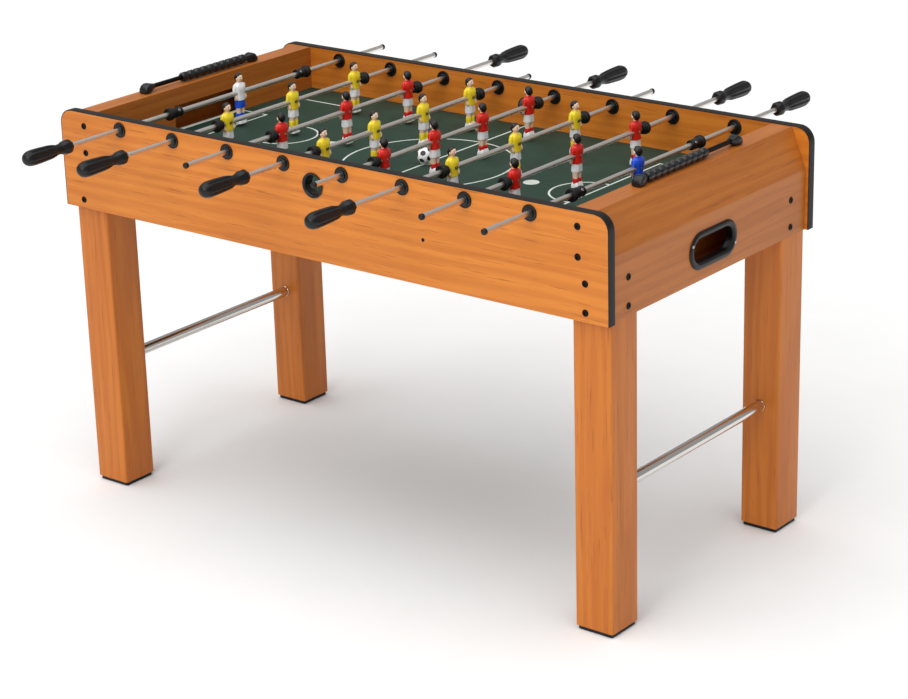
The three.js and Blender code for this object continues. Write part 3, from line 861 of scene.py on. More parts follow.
@dataclass
class SideBoard:
    """A long side panel: the pierced board, its black edge band, bolts, bearings and ball entry cup."""

    layout: Layout
    side: Side
    band_thickness: float = 1.8 * MM
    band_overhang: float = 0.25 * MM
    corner_radius: float = 30 * MM
    rod_hole: float = 8 * MM
    cup_half_cell: float = 30 * MM
    cup_bore: float = 18 * MM
    cup_wall: float = 2 * MM
    cup_flange: float = 23.8 * MM
    cup_flange_thickness: float = 3 * MM
    cup_inner_reach: float = 2 * MM
    end_bolts: tuple = ((587 * MM, 762 * MM), (587 * MM, 708 * MM), (602 * MM, 663 * MM),
                        (602 * MM, 611 * MM))
    field_screw: tuple = (253 * MM, 679 * MM)
    bolt_radius: float = 6.4 * MM
    screw_radius: float = 3.4 * MM
    bearing_bore: float = 5.3 * MM
    bearing_hub: float = 9.2 * MM
    bearing_rim: float = 15 * MM
    bearing_flange: float = 3 * MM

    def __post_init__(self) -> None:
        """Works out the board inside its band, and the directions of its faces."""
        self.half = self.layout.half_length - self.band_thickness
        self.top = self.layout.top - self.band_thickness
        self.corner = self.corner_radius - self.band_thickness
        self.sign, self.label = self.side.value, self.side.label
        self.outwards = (0.0, float(self.sign), 0.0)
        self.thickness = self.layout.outer_y - self.layout.inner_y
        self.middle_y = self.sign * (self.layout.outer_y + self.layout.inner_y) / 2

    def board(self) -> Piece:
        """The laminated board, one closed shell with a hole for each rod and for the ball entry cup.

        The board is cut into cells, one round each hole. Each cell's face is the straight blend from the
        hole's circle to the cell's outline, whose two upper corners at the board's ends lie on an arc.

        Returns:
            The board's piece.
        """
        layout, half, top = self.layout, self.half, self.top
        rods = list(layout.rods.values())
        holes = [(x, layout.rod_z, self.rod_hole) for x in rods]
        holes.insert(len(holes) // 2, (0.0, layout.cup_z, self.cup_bore + self.cup_wall + 0.3 * MM))
        middles = (np.array(rods[:-1]) + np.array(rods[1:])) / 2
        centre = len(middles) // 2
        edges = [-half, *middles[:centre], -self.cup_half_cell, self.cup_half_cell,
                 *middles[centre + 1:], half]
        steps = 16
        run = np.linspace(0, 1, steps + 1)
        turn = np.array([half - self.corner, top - self.corner])
        grids = []
        for (hole_x, hole_z, radius), x0, x1 in zip(holes, edges, edges[1:]):
            corners = loop_closed([(x0, layout.bottom), (x1, layout.bottom), (x1, top), (x0, top)])
            sides = corners[:-1, None] + (corners[1:] - corners[:-1])[:, None] * run[None, :, None]
            beyond = np.stack([np.abs(sides[..., 0]), sides[..., 1]], axis=-1) - turn
            length = np.maximum(np.linalg.norm(beyond, axis=-1, keepdims=True), 1e-9)
            on_arc = turn + self.corner * beyond / length
            on_arc[..., 0] *= np.sign(sides[..., 0])
            sides = np.where((beyond > 1e-6).all(axis=-1, keepdims=True), on_arc, sides)
            outline = sides.reshape(-1, 2)
            away = outline - (hole_x, hole_z)
            hole = (hole_x, hole_z) + radius * away / np.linalg.norm(away, axis=1, keepdims=True)
            both = np.stack([hole, outline])
            outer, inner = (
                np.stack([both[..., 0], self.sign * y + 0 * both[..., 0], both[..., 1]], axis=-1)
                for y in (layout.outer_y, layout.inner_y)
            )
            grids += [outer, inner, np.stack([outer[0], inner[0]])]
            rims = [0, 2] + ([3] if x0 == edges[0] else []) + ([1] if x1 == edges[-1] else [])
            for rim in rims:
                stretch = slice(rim * (steps + 1), (rim + 1) * (steps + 1))
                grids.append(np.stack([outer[1, stretch], inner[1, stretch]]))
        return Piece(f"{self.label}_side_board", [Shell(grids, SIDE_BOARD)], slot="cherry_laminate",
                     stands_for=[f"{self.label}_side_panel"])

    def edge_band(self) -> Piece:
        """The black band round the board's ends and top: a crowned strip carried along the edge."""
        half, top, corner = self.half, self.top, self.corner
        quarter = np.linspace(0, math.pi / 2, 13)
        left = np.column_stack([-half + corner - corner * np.cos(quarter),
                                top - corner + corner * np.sin(quarter)])
        right = left[::-1] * np.array([-1.0, 1.0])
        outline = np.vstack([[-half, self.layout.bottom], left, right, [half, self.layout.bottom]])
        path = np.column_stack([outline[:, 0], np.full(len(outline), self.middle_y), outline[:, 1]])
        reach, crown, sunk = self.thickness / 2 + self.band_overhang, self.band_thickness, -0.4 * MM
        section = filleted([(sunk, -reach), (crown, -reach), (crown, reach), (sunk, reach)],
                           1.1 * MM, 4, True)
        return Piece(f"{self.label}_edge_band", [Shell([swept(path, section, Y_AXIS)], EDGE_BAND)])

    def bolts(self) -> Piece:
        """The socket bolts at both ends of the board and the two screws that hold the playing board."""
        places = ([(place, self.bolt_radius) for place in self.end_bolts]
                  + [(self.field_screw, self.screw_radius)])
        face = self.sign * self.layout.outer_y
        shells = [socket_bolt((end * x, face, z), self.outwards, r) for end in BOTH for (x, z), r in places]
        return Piece(f"{self.label}_board_bolts", shells, slot="black_metal")

    def bearings(self) -> list[Piece]:
        """The stepped plastic bearing of each rod, turned round the rod's axis."""
        out, flange = (self.thickness / 2 + self.layout.bearing_stand_out,
                       self.thickness / 2 + self.bearing_flange)
        rim, hub, seat = self.bearing_rim, self.bearing_hub, self.thickness / 2 + 0.05 * MM
        upper = np.array([
            (self.bearing_bore, out), (hub - 1 * MM, out), (hub, out - 0.8 * MM),
            (hub + 0.4 * MM, flange - 0.8 * MM),
            (rim - 2.2 * MM, flange - 0.8 * MM), (rim - 1.6 * MM, flange),
            (rim - 0.5 * MM, flange - 0.3 * MM),
            (rim, flange - 1.2 * MM), (rim, seat), (self.rod_hole - 0.1 * MM, seat),
        ])
        profile = loop_closed(np.vstack([upper, upper[::-1] * np.array([1.0, -1.0])]))
        return [
            Piece(f"{name}_{self.label}_bearing",
                  [Shell([turned(profile, (x, self.middle_y, self.layout.rod_z), Y_AXIS)], BLACK_PLASTIC)])
            for name, x in self.layout.rods.items()
        ]

    def entry_cup(self) -> Piece:
        """The flanged cup that the ball is served through: a ring turned about the cup's axis."""
        bore, rim, thick, lift = self.cup_bore, self.cup_flange, self.cup_flange_thickness, 0.1 * MM
        wall, inner = bore + self.cup_wall, -self.thickness - self.cup_inner_reach
        corners = [(bore, inner), (wall, inner), (wall, lift), (rim, lift), (rim, thick),
                   (bore + 2.5 * MM, thick),
                   (bore, thick - 3 * MM)]
        place = (0.0, self.sign * self.layout.outer_y, self.layout.cup_z)
        grid = turned(filleted(corners, 1.0 * MM, 3, True), place, self.outwards, 56)
        return Piece(f"{self.label}_entry_cup", [Shell([grid], BLACK_PLASTIC)],
                     stands_for=[f"{self.label}_ball_entry_cup"])

    def pieces(self) -> list[Piece]:
        """All of the board's pieces."""
        return [self.board(), self.edge_band(), self.bolts(), *self.bearings(), self.entry_cup()]


@dataclass
class EndWorks:
    """What is added to an end of the cabinet: the oval trim of the ball return and the bolts."""

    end: End
    lip: float = 9 * MM
    lip_thickness: float = 4 * MM
    wall: float = 4 * MM
    bolt_y: float = 265 * MM
    bolt_heights: tuple = (664 * MM, 612 * MM)
    bolt_radius: float = 6.4 * MM
    screw_offset: tuple = (69 * MM, 14 * MM)
    screw_radius: float = 2.6 * MM

    def return_trim(self) -> Piece:
        """The oval trim: a lipped section carried round a slot with half-round ends.

        Returns:
            The trim's piece, with its two bright screws.
        """
        name, sign = f"{self.end.label}_ball_return_bezel", self.end.value
        low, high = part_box(name)
        panel_low, panel_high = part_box(f"{self.end.label}_end_panel")
        face = panel_high.x if sign > 0 else -panel_low.x
        depth = face - (low.x if sign > 0 else -high.x)
        middle_z = (low.z + high.z) / 2
        hole_radius = (high.z - low.z) / 2 - self.lip
        straight = (high.y - low.y - 2 * self.lip) / 2 - hole_radius
        angle = np.linspace(-math.pi / 2, math.pi / 2, 25)
        right = np.column_stack([straight + hole_radius * np.cos(angle), hole_radius * np.sin(angle)])
        outline = np.vstack([right, -right, right[:1]])
        path = np.column_stack([np.full(len(outline), face), outline[:, 0], outline[:, 1] + middle_z])
        lip, thick, wall = self.lip, self.lip_thickness, self.wall
        corners = [(-0.3 * MM, -depth), (-0.3 * MM, 0.1 * MM), (lip, 0.1 * MM), (lip, 0.45 * thick),
                   (lip * 0.55, thick), (0.0, thick), (-wall, 0.3 * thick), (-wall, -depth)]
        shells = [Shell([swept(path, filleted(corners, 1.3 * MM, 4, True), X_AXIS, True)], BLACK_PLASTIC)]
        across, up = self.screw_offset
        for side in BOTH:
            place = (face + 0.86 * thick, side * across, middle_z - side * up)
            shells.append(socket_bolt(place, X_AXIS, self.screw_radius, BRIGHT_STEEL))
        if self.end is End.LEFT:
            shells = [shell.mapped(HALF_TURN) for shell in shells]
        return Piece(f"{self.end.label}_return_trim", shells, stands_for=[name])

    def bolts(self) -> Piece:
        """The four socket bolts on the upright board."""
        sign = self.end.value
        low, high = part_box(f"{self.end.label}_end_panel")
        face = high.x if sign > 0 else low.x
        shells = [
            socket_bolt((face, side * self.bolt_y, height), (float(sign), 0.0, 0.0), self.bolt_radius)
            for side in BOTH
            for height in self.bolt_heights
        ]
        return Piece(f"{self.end.label}_panel_bolts", shells, slot="black_metal")

    def pieces(self) -> list[Piece]:
        """Dresses the CAD boards of this end and gives the added pieces."""
        # the end panel and goal box take the darker end-board colours, which are painted shade
        dress_node(f"{self.end.label}_end_panel", SHADED_END_BOARD)
        dress_node(f"{self.end.label}_goal_box", SHADED_END_BOARD)
        return [self.return_trim(), self.bolts()]


@dataclass
class PlayingField:
    """The green playing board with its printed white lines and spots."""

    layout: Layout
    line_width: float = 4 * MM
    print_thickness: float = 0.12 * MM
    sunk: float = 0.05 * MM
    circle_radius: float = 167 * MM
    spot_radius: float = 15.5 * MM
    attack_spot_x: float = 244 * MM
    penalty_x: float = 376 * MM
    penalty_half_width: float = 232 * MM
    goal_area_x: float = 500 * MM
    goal_area_half_width: float = 95 * MM
    arc_centre_x: float = 366 * MM
    arc_radius: float = 66 * MM
    goal_half_width: float = 98 * MM
    sill_low: float = 698 * MM
    sill_depth: float = 11.4 * MM

    def carried(self, path: Sequence, closed: bool = False) -> np.ndarray:
        """A printed line's flat section carried along a path of (x, y) points on the field."""
        flat = np.asarray(path, float)
        half, thick = self.line_width / 2, self.print_thickness
        section = loop_closed([(-half, -self.sunk), (half, -self.sunk), (half, thick), (-half, thick)])
        return swept(np.column_stack([flat, np.full(len(flat), self.layout.field_z)]), section, Z_AXIS,
                     closed)

    def arc(self, centre_x: float, radius: float, start: float, stop: float,
            closed: bool = False) -> np.ndarray:
        """An arc about a point of the middle line, between two angles from +X towards +Y."""
        angle = np.linspace(start, stop, 73)
        return self.carried(np.column_stack([centre_x + radius * np.cos(angle), radius * np.sin(angle)]),
                            closed)

    def spot(self, x: float) -> np.ndarray:
        """A round spot on the middle line of the field."""
        profile = disc_closed([(self.spot_radius, -self.sunk), (self.spot_radius, self.print_thickness)])
        return turned(profile, (x, 0.0, self.layout.field_z), Z_AXIS, 48)

    def pieces(self) -> list[Piece]:
        """Dresses the board and gives the printed lines.

        Returns:
            The piece that holds all lines and spots, and the two goal sills.
        """
        dress_node("playfield", FIELD_GREEN)
        reach, wall = self.layout.inner_y - 1 * MM, self.layout.wall_x - 1 * MM
        half, ring, spot = self.line_width / 2, self.circle_radius, self.spot_radius
        middle_line = [(ring + half, reach), (-reach, -ring - half), (spot, ring - half),
                       (half - ring, -spot)]
        grids = [self.carried([(0.0, start), (0.0, end)]) for start, end in middle_line]
        grids += [self.arc(0.0, ring, 0.0, TURN, True), self.spot(0.0)]
        opening = math.acos((self.penalty_x - half - self.arc_centre_x) / self.arc_radius)
        areas = ((self.penalty_x, self.penalty_half_width), (self.goal_area_x, self.goal_area_half_width))
        for sign in BOTH:
            for x, width in areas:
                grids.append(self.carried([(sign * x, -width - half), (sign * x, width + half)]))
                beyond = sign * (x + half + self.sunk)
                grids += [self.carried([(beyond, side * width), (sign * wall, side * width)])
                          for side in BOTH]
            middle = 0.0 if sign > 0 else math.pi
            grids.append(self.arc(sign * self.arc_centre_x, self.arc_radius, middle + opening,
                                  middle + TURN - opening))
            grids.append(self.spot(sign * self.attack_spot_x))
        shells = [Shell([grid], FIELD_WHITE) for grid in grids]
        return [Piece("field_markings", shells, slot="field_green"), *(self.goal_sill(end) for end in End)]

    def goal_sill(self, end: End) -> Piece:
        """The white strip on the threshold of a goal mouth: rounded rectangles carried upwards."""
        near, y, low, bevel = self.layout.wall_x + 0.3 * MM, self.goal_half_width, self.sill_low, 0.5 * MM
        far = near + self.sill_depth
        levels = [(low - self.sunk, near, far, -y, y), (low + 1.6 * MM, near, far, -y, y),
                  (low + 2.0 * MM, near + bevel, far - bevel, 0.4 * MM - y, y - 0.4 * MM)]
        strip = Shell([lofted(block_sections(levels, 1.2 * MM, 3))], FIELD_WHITE)
        strip = strip.mapped(HALF_TURN) if end is End.LEFT else strip
        return Piece(f"{end.label}_goal_sill", [strip], slot="field_green")


# ---------------------------------------------------------------- legs


@dataclass
class LegSet:
    """The four wrapped legs, their foot pads, and the chrome stretchers between them."""

    edge_radius: float = 4.5 * MM
    edge_steps: int = 5
    bevel: float = 0.6 * MM
    pad_height: float = 8 * MM
    pad_inset: float = 3 * MM
    rim: float = 0.5 * MM

    def leg(self, node: str) -> list[Piece]:
        """One leg and its pad: rounded squares carried upwards, narrower inside the cabinet.

        Args:
            node: the leg's CAD node.

        Returns:
            The leg and its pad.
        """
        low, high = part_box(node)
        points = np.array([vertex.co for vertex in frame["nodes"][node].data.vertices])
        shoulder = np.unique(np.round(points[:, 2], 4))[-2]
        stub = points[points[:, 2] > shoulder + 1 * MM]
        box = np.array([low.x, high.x, low.y, high.y])
        narrow = np.array([stub[:, 0].min(), stub[:, 0].max(), low.y, high.y])
        inwards = np.array([1.0, -1.0, 1.0, -1.0])
        height, bevel, inset = self.pad_height, self.bevel, self.pad_inset
        post = [(height + 0.05 * MM, *box + bevel * inwards), (height + bevel, *box), (shoulder, *box),
                (shoulder, *narrow), (high.z, *narrow)]
        steps = [(0.0, inset + 1.5 * MM), (1.2 * MM, inset), (height - 1.5 * MM, inset),
                 (height, inset - 1 * MM)]
        pad = [(level, *box + inside * inwards) for level, inside in steps]
        post_grid, pad_grid = (
            lofted(block_sections(levels, self.edge_radius, self.edge_steps)) for levels in (post, pad)
        )
        return [
            Piece(f"{node}_post", [Shell([post_grid], LEG_BOARD)], slot="cherry_laminate", stands_for=[node]),
            Piece(f"{node}_pad", [Shell([pad_grid], RUBBER)]),
        ]

    def stretcher(self, end: End) -> Piece:
        """The chrome tube between the two legs of one end, with a rolled rim at each leg."""
        node = f"{end.label}_stretcher"
        low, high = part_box(node)
        half, radius = (high.y - low.y) / 2, (high.z - low.z) / 2
        swollen = radius + self.rim
        far = [(radius, half - 3 * MM), (swollen, half - 2.6 * MM), (swollen, half - 0.4 * MM),
               (radius, half)]
        near = [(r, -y) for r, y in reversed(far)]
        grid = turned(disc_closed([*near, *far]), (low + high) / 2, Y_AXIS, 48)
        return Piece(f"{node}_tube", [Shell([grid], CHROME)], slot="chrome", stands_for=[node])

    def pieces(self) -> list[Piece]:
        """All legs, pads and stretchers."""
        legs = [f"{side}_{end}_leg" for side in ("front", "back") for end in ("left", "right")]
        return [piece for node in legs for piece in self.leg(node)] + [self.stretcher(end) for end in End]


# ---------------------------------------------------------------- players


@dataclass(frozen=True)
class Kit:
    """What a player wears, and how high the socks reach in millimetres from the rod's axis."""

    shirt: Finish
    shorts: Finish
    socks: Finish
    sock_top: float
    numbered: bool = False


KITS = {
    "yellow": Kit(YELLOW_PAINT, WHITE_PAINT, YELLOW_PAINT, -38, True),
    "red": Kit(RED_PAINT, WHITE_PAINT, RED_PAINT, -43),
    "yellow_goalie": Kit(WHITE_PAINT, BLUE_PAINT, BLUE_PAINT, -42),
    "red_goalie": Kit(BLUE_PAINT, WHITE_PAINT, BLUE_PAINT, -42),
}


@dataclass
class PlayerFigure:
    """One moulded player facing +X, its rod's axis along Y through the origin, in millimetres."""

    kit: Kit
    sole: float
    head_top: float = 39
    head_radius: float = 8.9
    shoulder: float = 19.5
    hem: float = -14
    shorts_end: float = -31
    ankle: float = -51
    half_chest_depth: float = 9.2
    half_chest_width: float = 13.6
    arm_out: float = 13.2
    half_foot_depth: float = 8.2
    half_foot_width: float = 10.8
    leg_out: float = 5.3

    def head(self) -> list[Shell]:
        """The head, ears, nose, eyes and mouth, and the tousled hair.

        The hair is the head's own ellipsoid pushed out behind a hairline and sunk below the skin in front
        of it; the change follows a smooth step of the height above a plane that leans over the brow, and
        the tufts are a product of waves round and up the head.

        Returns:
            The head's shells.
        """
        r = self.head_radius
        centre = np.array([0.0, 0.0, self.head_top - r])
        radii = np.array([0.92, 0.84, 1.0]) * r
        unit = ball_grid(ORIGIN, (1, 1, 1), 26, 44)
        around, up = np.arctan2(unit[..., 1], unit[..., 0]), unit[..., 2]
        brow = up * 0.62 - unit[..., 0] * 0.94 + 0.05 * np.sin(7 * around)
        share = np.clip((brow + 0.26) / 0.16, 0, 1)
        share = share * share * (3 - 2 * share)
        tufts = 0.045 * np.sin(8 * around) * np.sin(6 * up + 1) * (1 - up ** 2)
        swell = 0.90 + share * (0.22 + tufts)
        swell = np.where(up < -0.84, np.minimum(swell, 0.93), swell)
        shells = [Shell([ball_grid(centre, radii, 14, 22)], SKIN),
                  Shell([centre + unit * radii * swell[..., None]], HAIR)]
        # place and radii as shares of the head's radius, faces up and round, finish
        features = [((0.92, 0, -0.1), (0.17, 0.12, 0.2), (6, 10), SKIN),
                    ((0.80, 0, -0.46), (0.08, 0.24, 0.05), (5, 10), LIPS)]
        for side in BOTH:
            features += [((0.16, side * 0.88, -0.16), (0.2, 0.14, 0.26), (6, 10), SKIN),
                         ((0.80, side * 0.30, 0.12), (0.08, 0.11, 0.08), (5, 8), HAIR),
                         ((0.76, side * 0.32, 0.33), (0.09, 0.17, 0.045), (5, 8), HAIR)]
        return shells + [
            Shell([ball_grid(centre + np.array(place) * r, np.array(size) * r, *faces)], finish)
            for place, size, faces, finish in features
        ]

    def trunk(self) -> list[Shell]:
        """The neck, the shirt with its collar and folds, and the arms with hands at the hem.

        Returns:
            The shells above the shorts.
        """
        depth, width, hem, top, out = (self.half_chest_depth, self.half_chest_width, self.hem, self.shoulder,
                                       self.arm_out)
        neck = oval_sections([(top - 4, 4.4, 4.6, 0, 0), (top + 5.5, 4.0, 4.2, 0.2, 0)], 2.0, 16)
        shirt = oval_sections([
            (hem - 1.6, 7.2, 10.4, 0, 0), (hem - 0.8, 8.7, 11.9, 0, 0), (hem + 2, 8.9, 11.8, 0, 0),
            (hem + 7, 8.3, 11.1, 0, 0), (-1, depth - 0.4, 11.6, 0, 0), (6, depth + 0.4, width - 0.4, 0.1, 0),
            (11, depth + 0.2, width + 0.4, 0.1, 0), (15, depth - 1.0, width, 0, 0),
            (18, depth - 2.8, width - 2.4, 0, 0), (top + 0.5, 5.4, 7.2, 0, 0),
        ], 2.5, 44)
        slant, z = np.arctan2(shirt[..., 1], shirt[..., 0]), shirt[..., 2]
        folds = 0.35 * np.sin(5 * slant + z / 3.2) * np.clip((8 - z) / 12, 0, 1)
        shirt[..., :2] *= 1 + (folds / depth)[..., None]
        ring, bead = circle(24), circle(8)
        collar = np.column_stack([5.0 * np.cos(ring), 5.4 * np.sin(ring), top + 0.7 - 0.9 * np.cos(ring)])
        section = np.column_stack([np.cos(bead), np.sin(bead)])
        shells = [Shell([lofted(neck)], SKIN), Shell([lofted(shirt)], self.kit.shirt),
                  Shell([swept(collar, section, Z_AXIS, True)], self.kit.shirt)]
        sleeve = np.array([(0, out - 3.6, 16.6), (-0.2, out - 1.2, 14.6), (-0.6, out - 0.3, 9.5),
                           (-0.9, out + 0.1, 3.4), (-0.9, out + 0.1, 2.6)])
        forearm = np.array([(-0.9, out, 4.5), (-0.6, out + 0.4, 0), (1.0, out + 0.5, -4.4),
                            (2.6, out + 0.1, -7.8), (3.6, out - 0.4, -10.6), (4.0, out - 0.9, -13.2),
                            (4.0, out - 1.1, -14.6)])
        for side in BOTH:
            mirror = np.array([1.0, side, 1.0])
            shells.append(Shell([limb(sleeve * mirror, (2.8, 4.3, 4.4, 4.0, 3.0), 18)], self.kit.shirt))
            shells.append(Shell([limb(forearm * mirror, (2.6, 3.0, 2.7, 2.8, 3.3, 2.6, 1.0), 14)], SKIN))
        return shells

    def number(self) -> list[Shell]:
        """The painted number ten on a chest: an upright stroke and an oval, raised a little."""
        if not self.kit.numbered:
            return []
        face, pen, turn = self.half_chest_depth + 0.1, 0.75, circle(16)
        stroke = [(face, -2.6, 4.0), (face, -2.6, 1.0), (face, -2.6, -1.5)]
        oval = np.column_stack([np.full(17, face), 1.6 + 1.7 * np.cos(turn), 1.25 + 2.5 * np.sin(turn)])
        ring = pen * np.column_stack([np.cos(turn[::2]), np.sin(turn[::2])])
        grids = limb(stroke, [pen] * 3, 8), swept(oval, ring, X_AXIS, True)
        return [Shell([grid], SHIRT_MARK) for grid in grids]

    def lower_body(self) -> list[Shell]:
        """The shorts with their notch and creases, the two legs in socks, and the foot block.

        Returns:
            The shells below the shirt.
        """
        end, ankle, sole, top = self.shorts_end, self.ankle, self.sole, self.kit.sock_top
        shorts = oval_sections([(end, 6.4, 10.8, 0, 0), (end + 0.7, 7.9, 11.8, 0, 0), (-25, 7.9, 11.6, 0, 0),
                                (-19, 7.7, 11.0, 0, 0), (self.hem + 1, 7.4, 10.6, 0, 0)], 2.6, 44)
        low = np.clip((-18 - shorts[..., 2]) / 12, 0, 1)
        notch = np.exp(-((shorts[..., 1] / 1.7) ** 2)) * low
        slant = np.arctan2(shorts[..., 1], shorts[..., 0])
        shorts[..., 0] *= 1 - 0.26 * notch
        shorts[..., :2] *= 1 + (0.03 * low * np.sin(8 * slant))[..., None]
        shells = [Shell([lofted(shorts)], self.kit.shorts)]
        for side in BOTH:
            y = side * self.leg_out
            thigh = [(top - 1, 4.7, 4.2, 0, y), (top + 1, 4.8, 4.3, 0, y), (end + 1, 5.8, 5.0, 0, y)]
            sock = [(ankle - 1.5, 5.2, 4.9, 0, y), ((ankle + top) / 2, 5.6, 5.1, -0.4, y),
                    (top - 0.8, 5.6, 5.0, -0.2, y), (top, 5.0, 4.5, -0.1, y)]
            shells += [Shell([lofted(oval_sections(levels, 2.2, 20))], finish)
                       for levels, finish in ((thigh, SKIN), (sock, self.kit.socks))]
        depth, width = self.half_foot_depth, self.half_foot_width
        boots = oval_sections([
            (sole, depth - 1.2, width - 1, 0, 0), (sole + 1, depth, width, 0, 0),
            (sole + 7, depth, width, 0, 0),
            (sole + 9, depth - 0.8, width - 0.3, 0, 0), (ankle - 0.6, 6.4, width - 1.0, 0, 0),
            (ankle + 0.6, 5.6, width - 1.6, 0, 0),
        ], 5.0, 40)
        furrow = np.exp(-((boots[..., 1] / 1.3) ** 2)) * np.clip((boots[..., 2] - sole) / 8, 0, 1)
        boots[..., 0] *= 1 - 0.2 * furrow
        return shells + [Shell([lofted(boots)], WHITE_PAINT)]

    def shells(self) -> list[Shell]:
        """All of the figure's shells, in metres."""
        made = self.head() + self.trunk() + self.number() + self.lower_body()
        return [shell.mapped(MM) for shell in made]


# ---------------------------------------------------------------- rods


@dataclass
class RodSet:
    """One rod with everything on it, at the places that the frame gives."""

    name: str
    layout: Layout
    rod_radius: float = 5 * MM
    rod_chamfer: float = 0.7 * MM
    cap_length: float = 7 * MM
    cap_radius: float = 5.8 * MM
    bumper_radius: float = 12.5 * MM
    bumper_length: float = 18 * MM
    collar_radius: float = 10 * MM
    collar_length: float = 17 * MM
    collar_screw: float = 2.6 * MM
    player_screw: float = 2.4 * MM
    player_back: float = 8.7 * MM
    handle_flutes: int = 9
    flute_depth: float = 2.1 * MM
    mouth_sides: int = 8

    def __post_init__(self) -> None:
        """Reads the rod's bodies, axis, players and handle from the frame."""
        self.slider, self.turner = f"{self.name}_sliding_rod", f"{self.name}_turning_row"
        self.axis = np.array(joint(f"{self.name}_turn")["pos_m"])
        low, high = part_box(f"{self.name}_handle")
        self.handle_sign = -1 if low.y + high.y < 0 else 1
        self.player_nodes = sorted(node for node in frame["nodes"] if node.startswith(f"{self.name}_player"))
        self.goalie = len(self.player_nodes) == 1

    def spun(self, profile: Points, along: float, sign: float, segments: int = 40) -> np.ndarray:
        """A profile turned about the rod's axis.

        Args:
            profile: radius and distance along the axis.
            along: the y at which the distance is nought.
            sign: which way along Y the distance runs.
            segments: how many faces go round.

        Returns:
            The grid.
        """
        return turned(profile, self.axis + (0.0, along, 0.0), (0.0, float(sign), 0.0), segments)

    def stops(self) -> list[tuple[float, int, str]]:
        """Where each bumper starts, on the side of the players: its y, its direction and its label.

        The slide's travel sets them: a bumper at the limit ends 1 mm from the bearing.
        """
        low, high = joint(f"{self.name}_slide")["range_m"]
        stop = self.layout.inner_y - self.layout.bearing_stand_out - 1 * MM
        return [(stop - high - self.bumper_length, 1, "back"),
                (-stop - low + self.bumper_length, -1, "front")]

    def tube(self) -> Piece:
        """The plated tube, its two ends chamfered: a profile turned about the rod's axis."""
        low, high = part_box(f"{self.name}_rod")
        r, chamfer, under_cap = self.rod_radius, self.rod_chamfer, 3 * MM
        start, stop = (low.y, high.y - under_cap) if self.handle_sign < 0 else (low.y + under_cap, high.y)
        profile = disc_closed([(r - chamfer, start), (r, start + chamfer), (r, stop - chamfer),
                               (r - chamfer, stop)])
        return Piece(f"{self.name}_tube", [Shell([self.spun(profile, 0.0, 1, 32)], ROD_STEEL)], self.slider,
                     "rod_steel", [f"{self.name}_rod"])

    def end_cap(self) -> Piece:
        """The push-on cap of the bare end: a short cup with a domed face."""
        low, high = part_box(f"{self.name}_rod")
        sign = -self.handle_sign
        tip = high.y if sign > 0 else -low.y
        base, r, bore = tip - self.cap_length, self.cap_radius, self.rod_radius - 0.1 * MM
        corners = [(bore, base), (r - 0.3 * MM, base), (r, base + 0.6 * MM), (r, tip - 2 * MM),
                   (r - 1 * MM, tip - 0.6 * MM), (r - 3 * MM, tip), (0.0, tip)]
        inner = [(0.0, tip - 3.2 * MM), (bore, tip - 3.2 * MM)]
        grid = self.spun(np.vstack([inner, filleted(corners, 0.8 * MM, 3)]), 0.0, sign, 32)
        return Piece(f"{self.name}_end_cap", [Shell([grid], BLACK_PLASTIC)], self.slider, "rod_steel")

    def bumpers(self) -> list[Piece]:
        """The two rubber bumpers: grooved rings whose wide flange faces the bearing."""
        bore, length = self.rod_radius + 0.02 * MM, self.bumper_length
        shares = [(0.70, 0.0), (0.80, 0.12), (0.80, 0.34), (0.70, 0.42), (0.78, 0.50), (0.98, 0.58),
                  (1, 0.66),
                  (1, 0.90), (0.93, 1)]
        corners = [(bore, 0.0), *(np.array(shares) * (self.bumper_radius, length)), (bore + 1.5 * MM, length),
                   (bore, 0.94 * length)]
        profile = filleted(corners, 1.2 * MM, 3, True)
        return [
            Piece(f"{self.name}_{label}_bumper",
                  [Shell([self.spun(profile, start, sign)], RUBBER)], self.slider,
                  "rod_steel")
            for start, sign, label in self.stops()
        ]

    def collars(self) -> list[Piece]:
        """A goalkeeper's two stop collars, each a grooved ring with a bright set screw.

        Returns:
            Two pieces, or none on another rod.
        """
        if not self.goalie:
            return []
        r, length, bore = self.collar_radius, self.collar_length, self.rod_radius + 0.02 * MM
        end = length - 0.2 * MM
        shares = [(0.94, 0.0), (1, 0.08), (1, 0.24), (0.9, 0.3), (0.9, 0.7), (1, 0.76), (1, 0.94)]
        corners = [(bore, 0.0), *(np.array(shares) * (r, length)), (r * 0.94, end), (bore, end)]
        profile = filleted(corners, 0.5 * MM, 3, True)
        facing = np.array([0.80, 0.0, 0.60])
        pieces = []
        for start, sign, label in self.stops():
            inner = start - sign * length
            seat = self.axis + (0.0, inner + sign * 0.5 * length, 0.0) + facing * (0.9 * r - 0.2 * MM)
            shells = [Shell([self.spun(profile, inner, sign)], BLACK_PLASTIC),
                      socket_bolt(seat, facing, self.collar_screw, BRIGHT_STEEL)]
            pieces.append(Piece(f"{self.name}_{label}_collar", shells, self.turner, "rod_steel"))
        return pieces

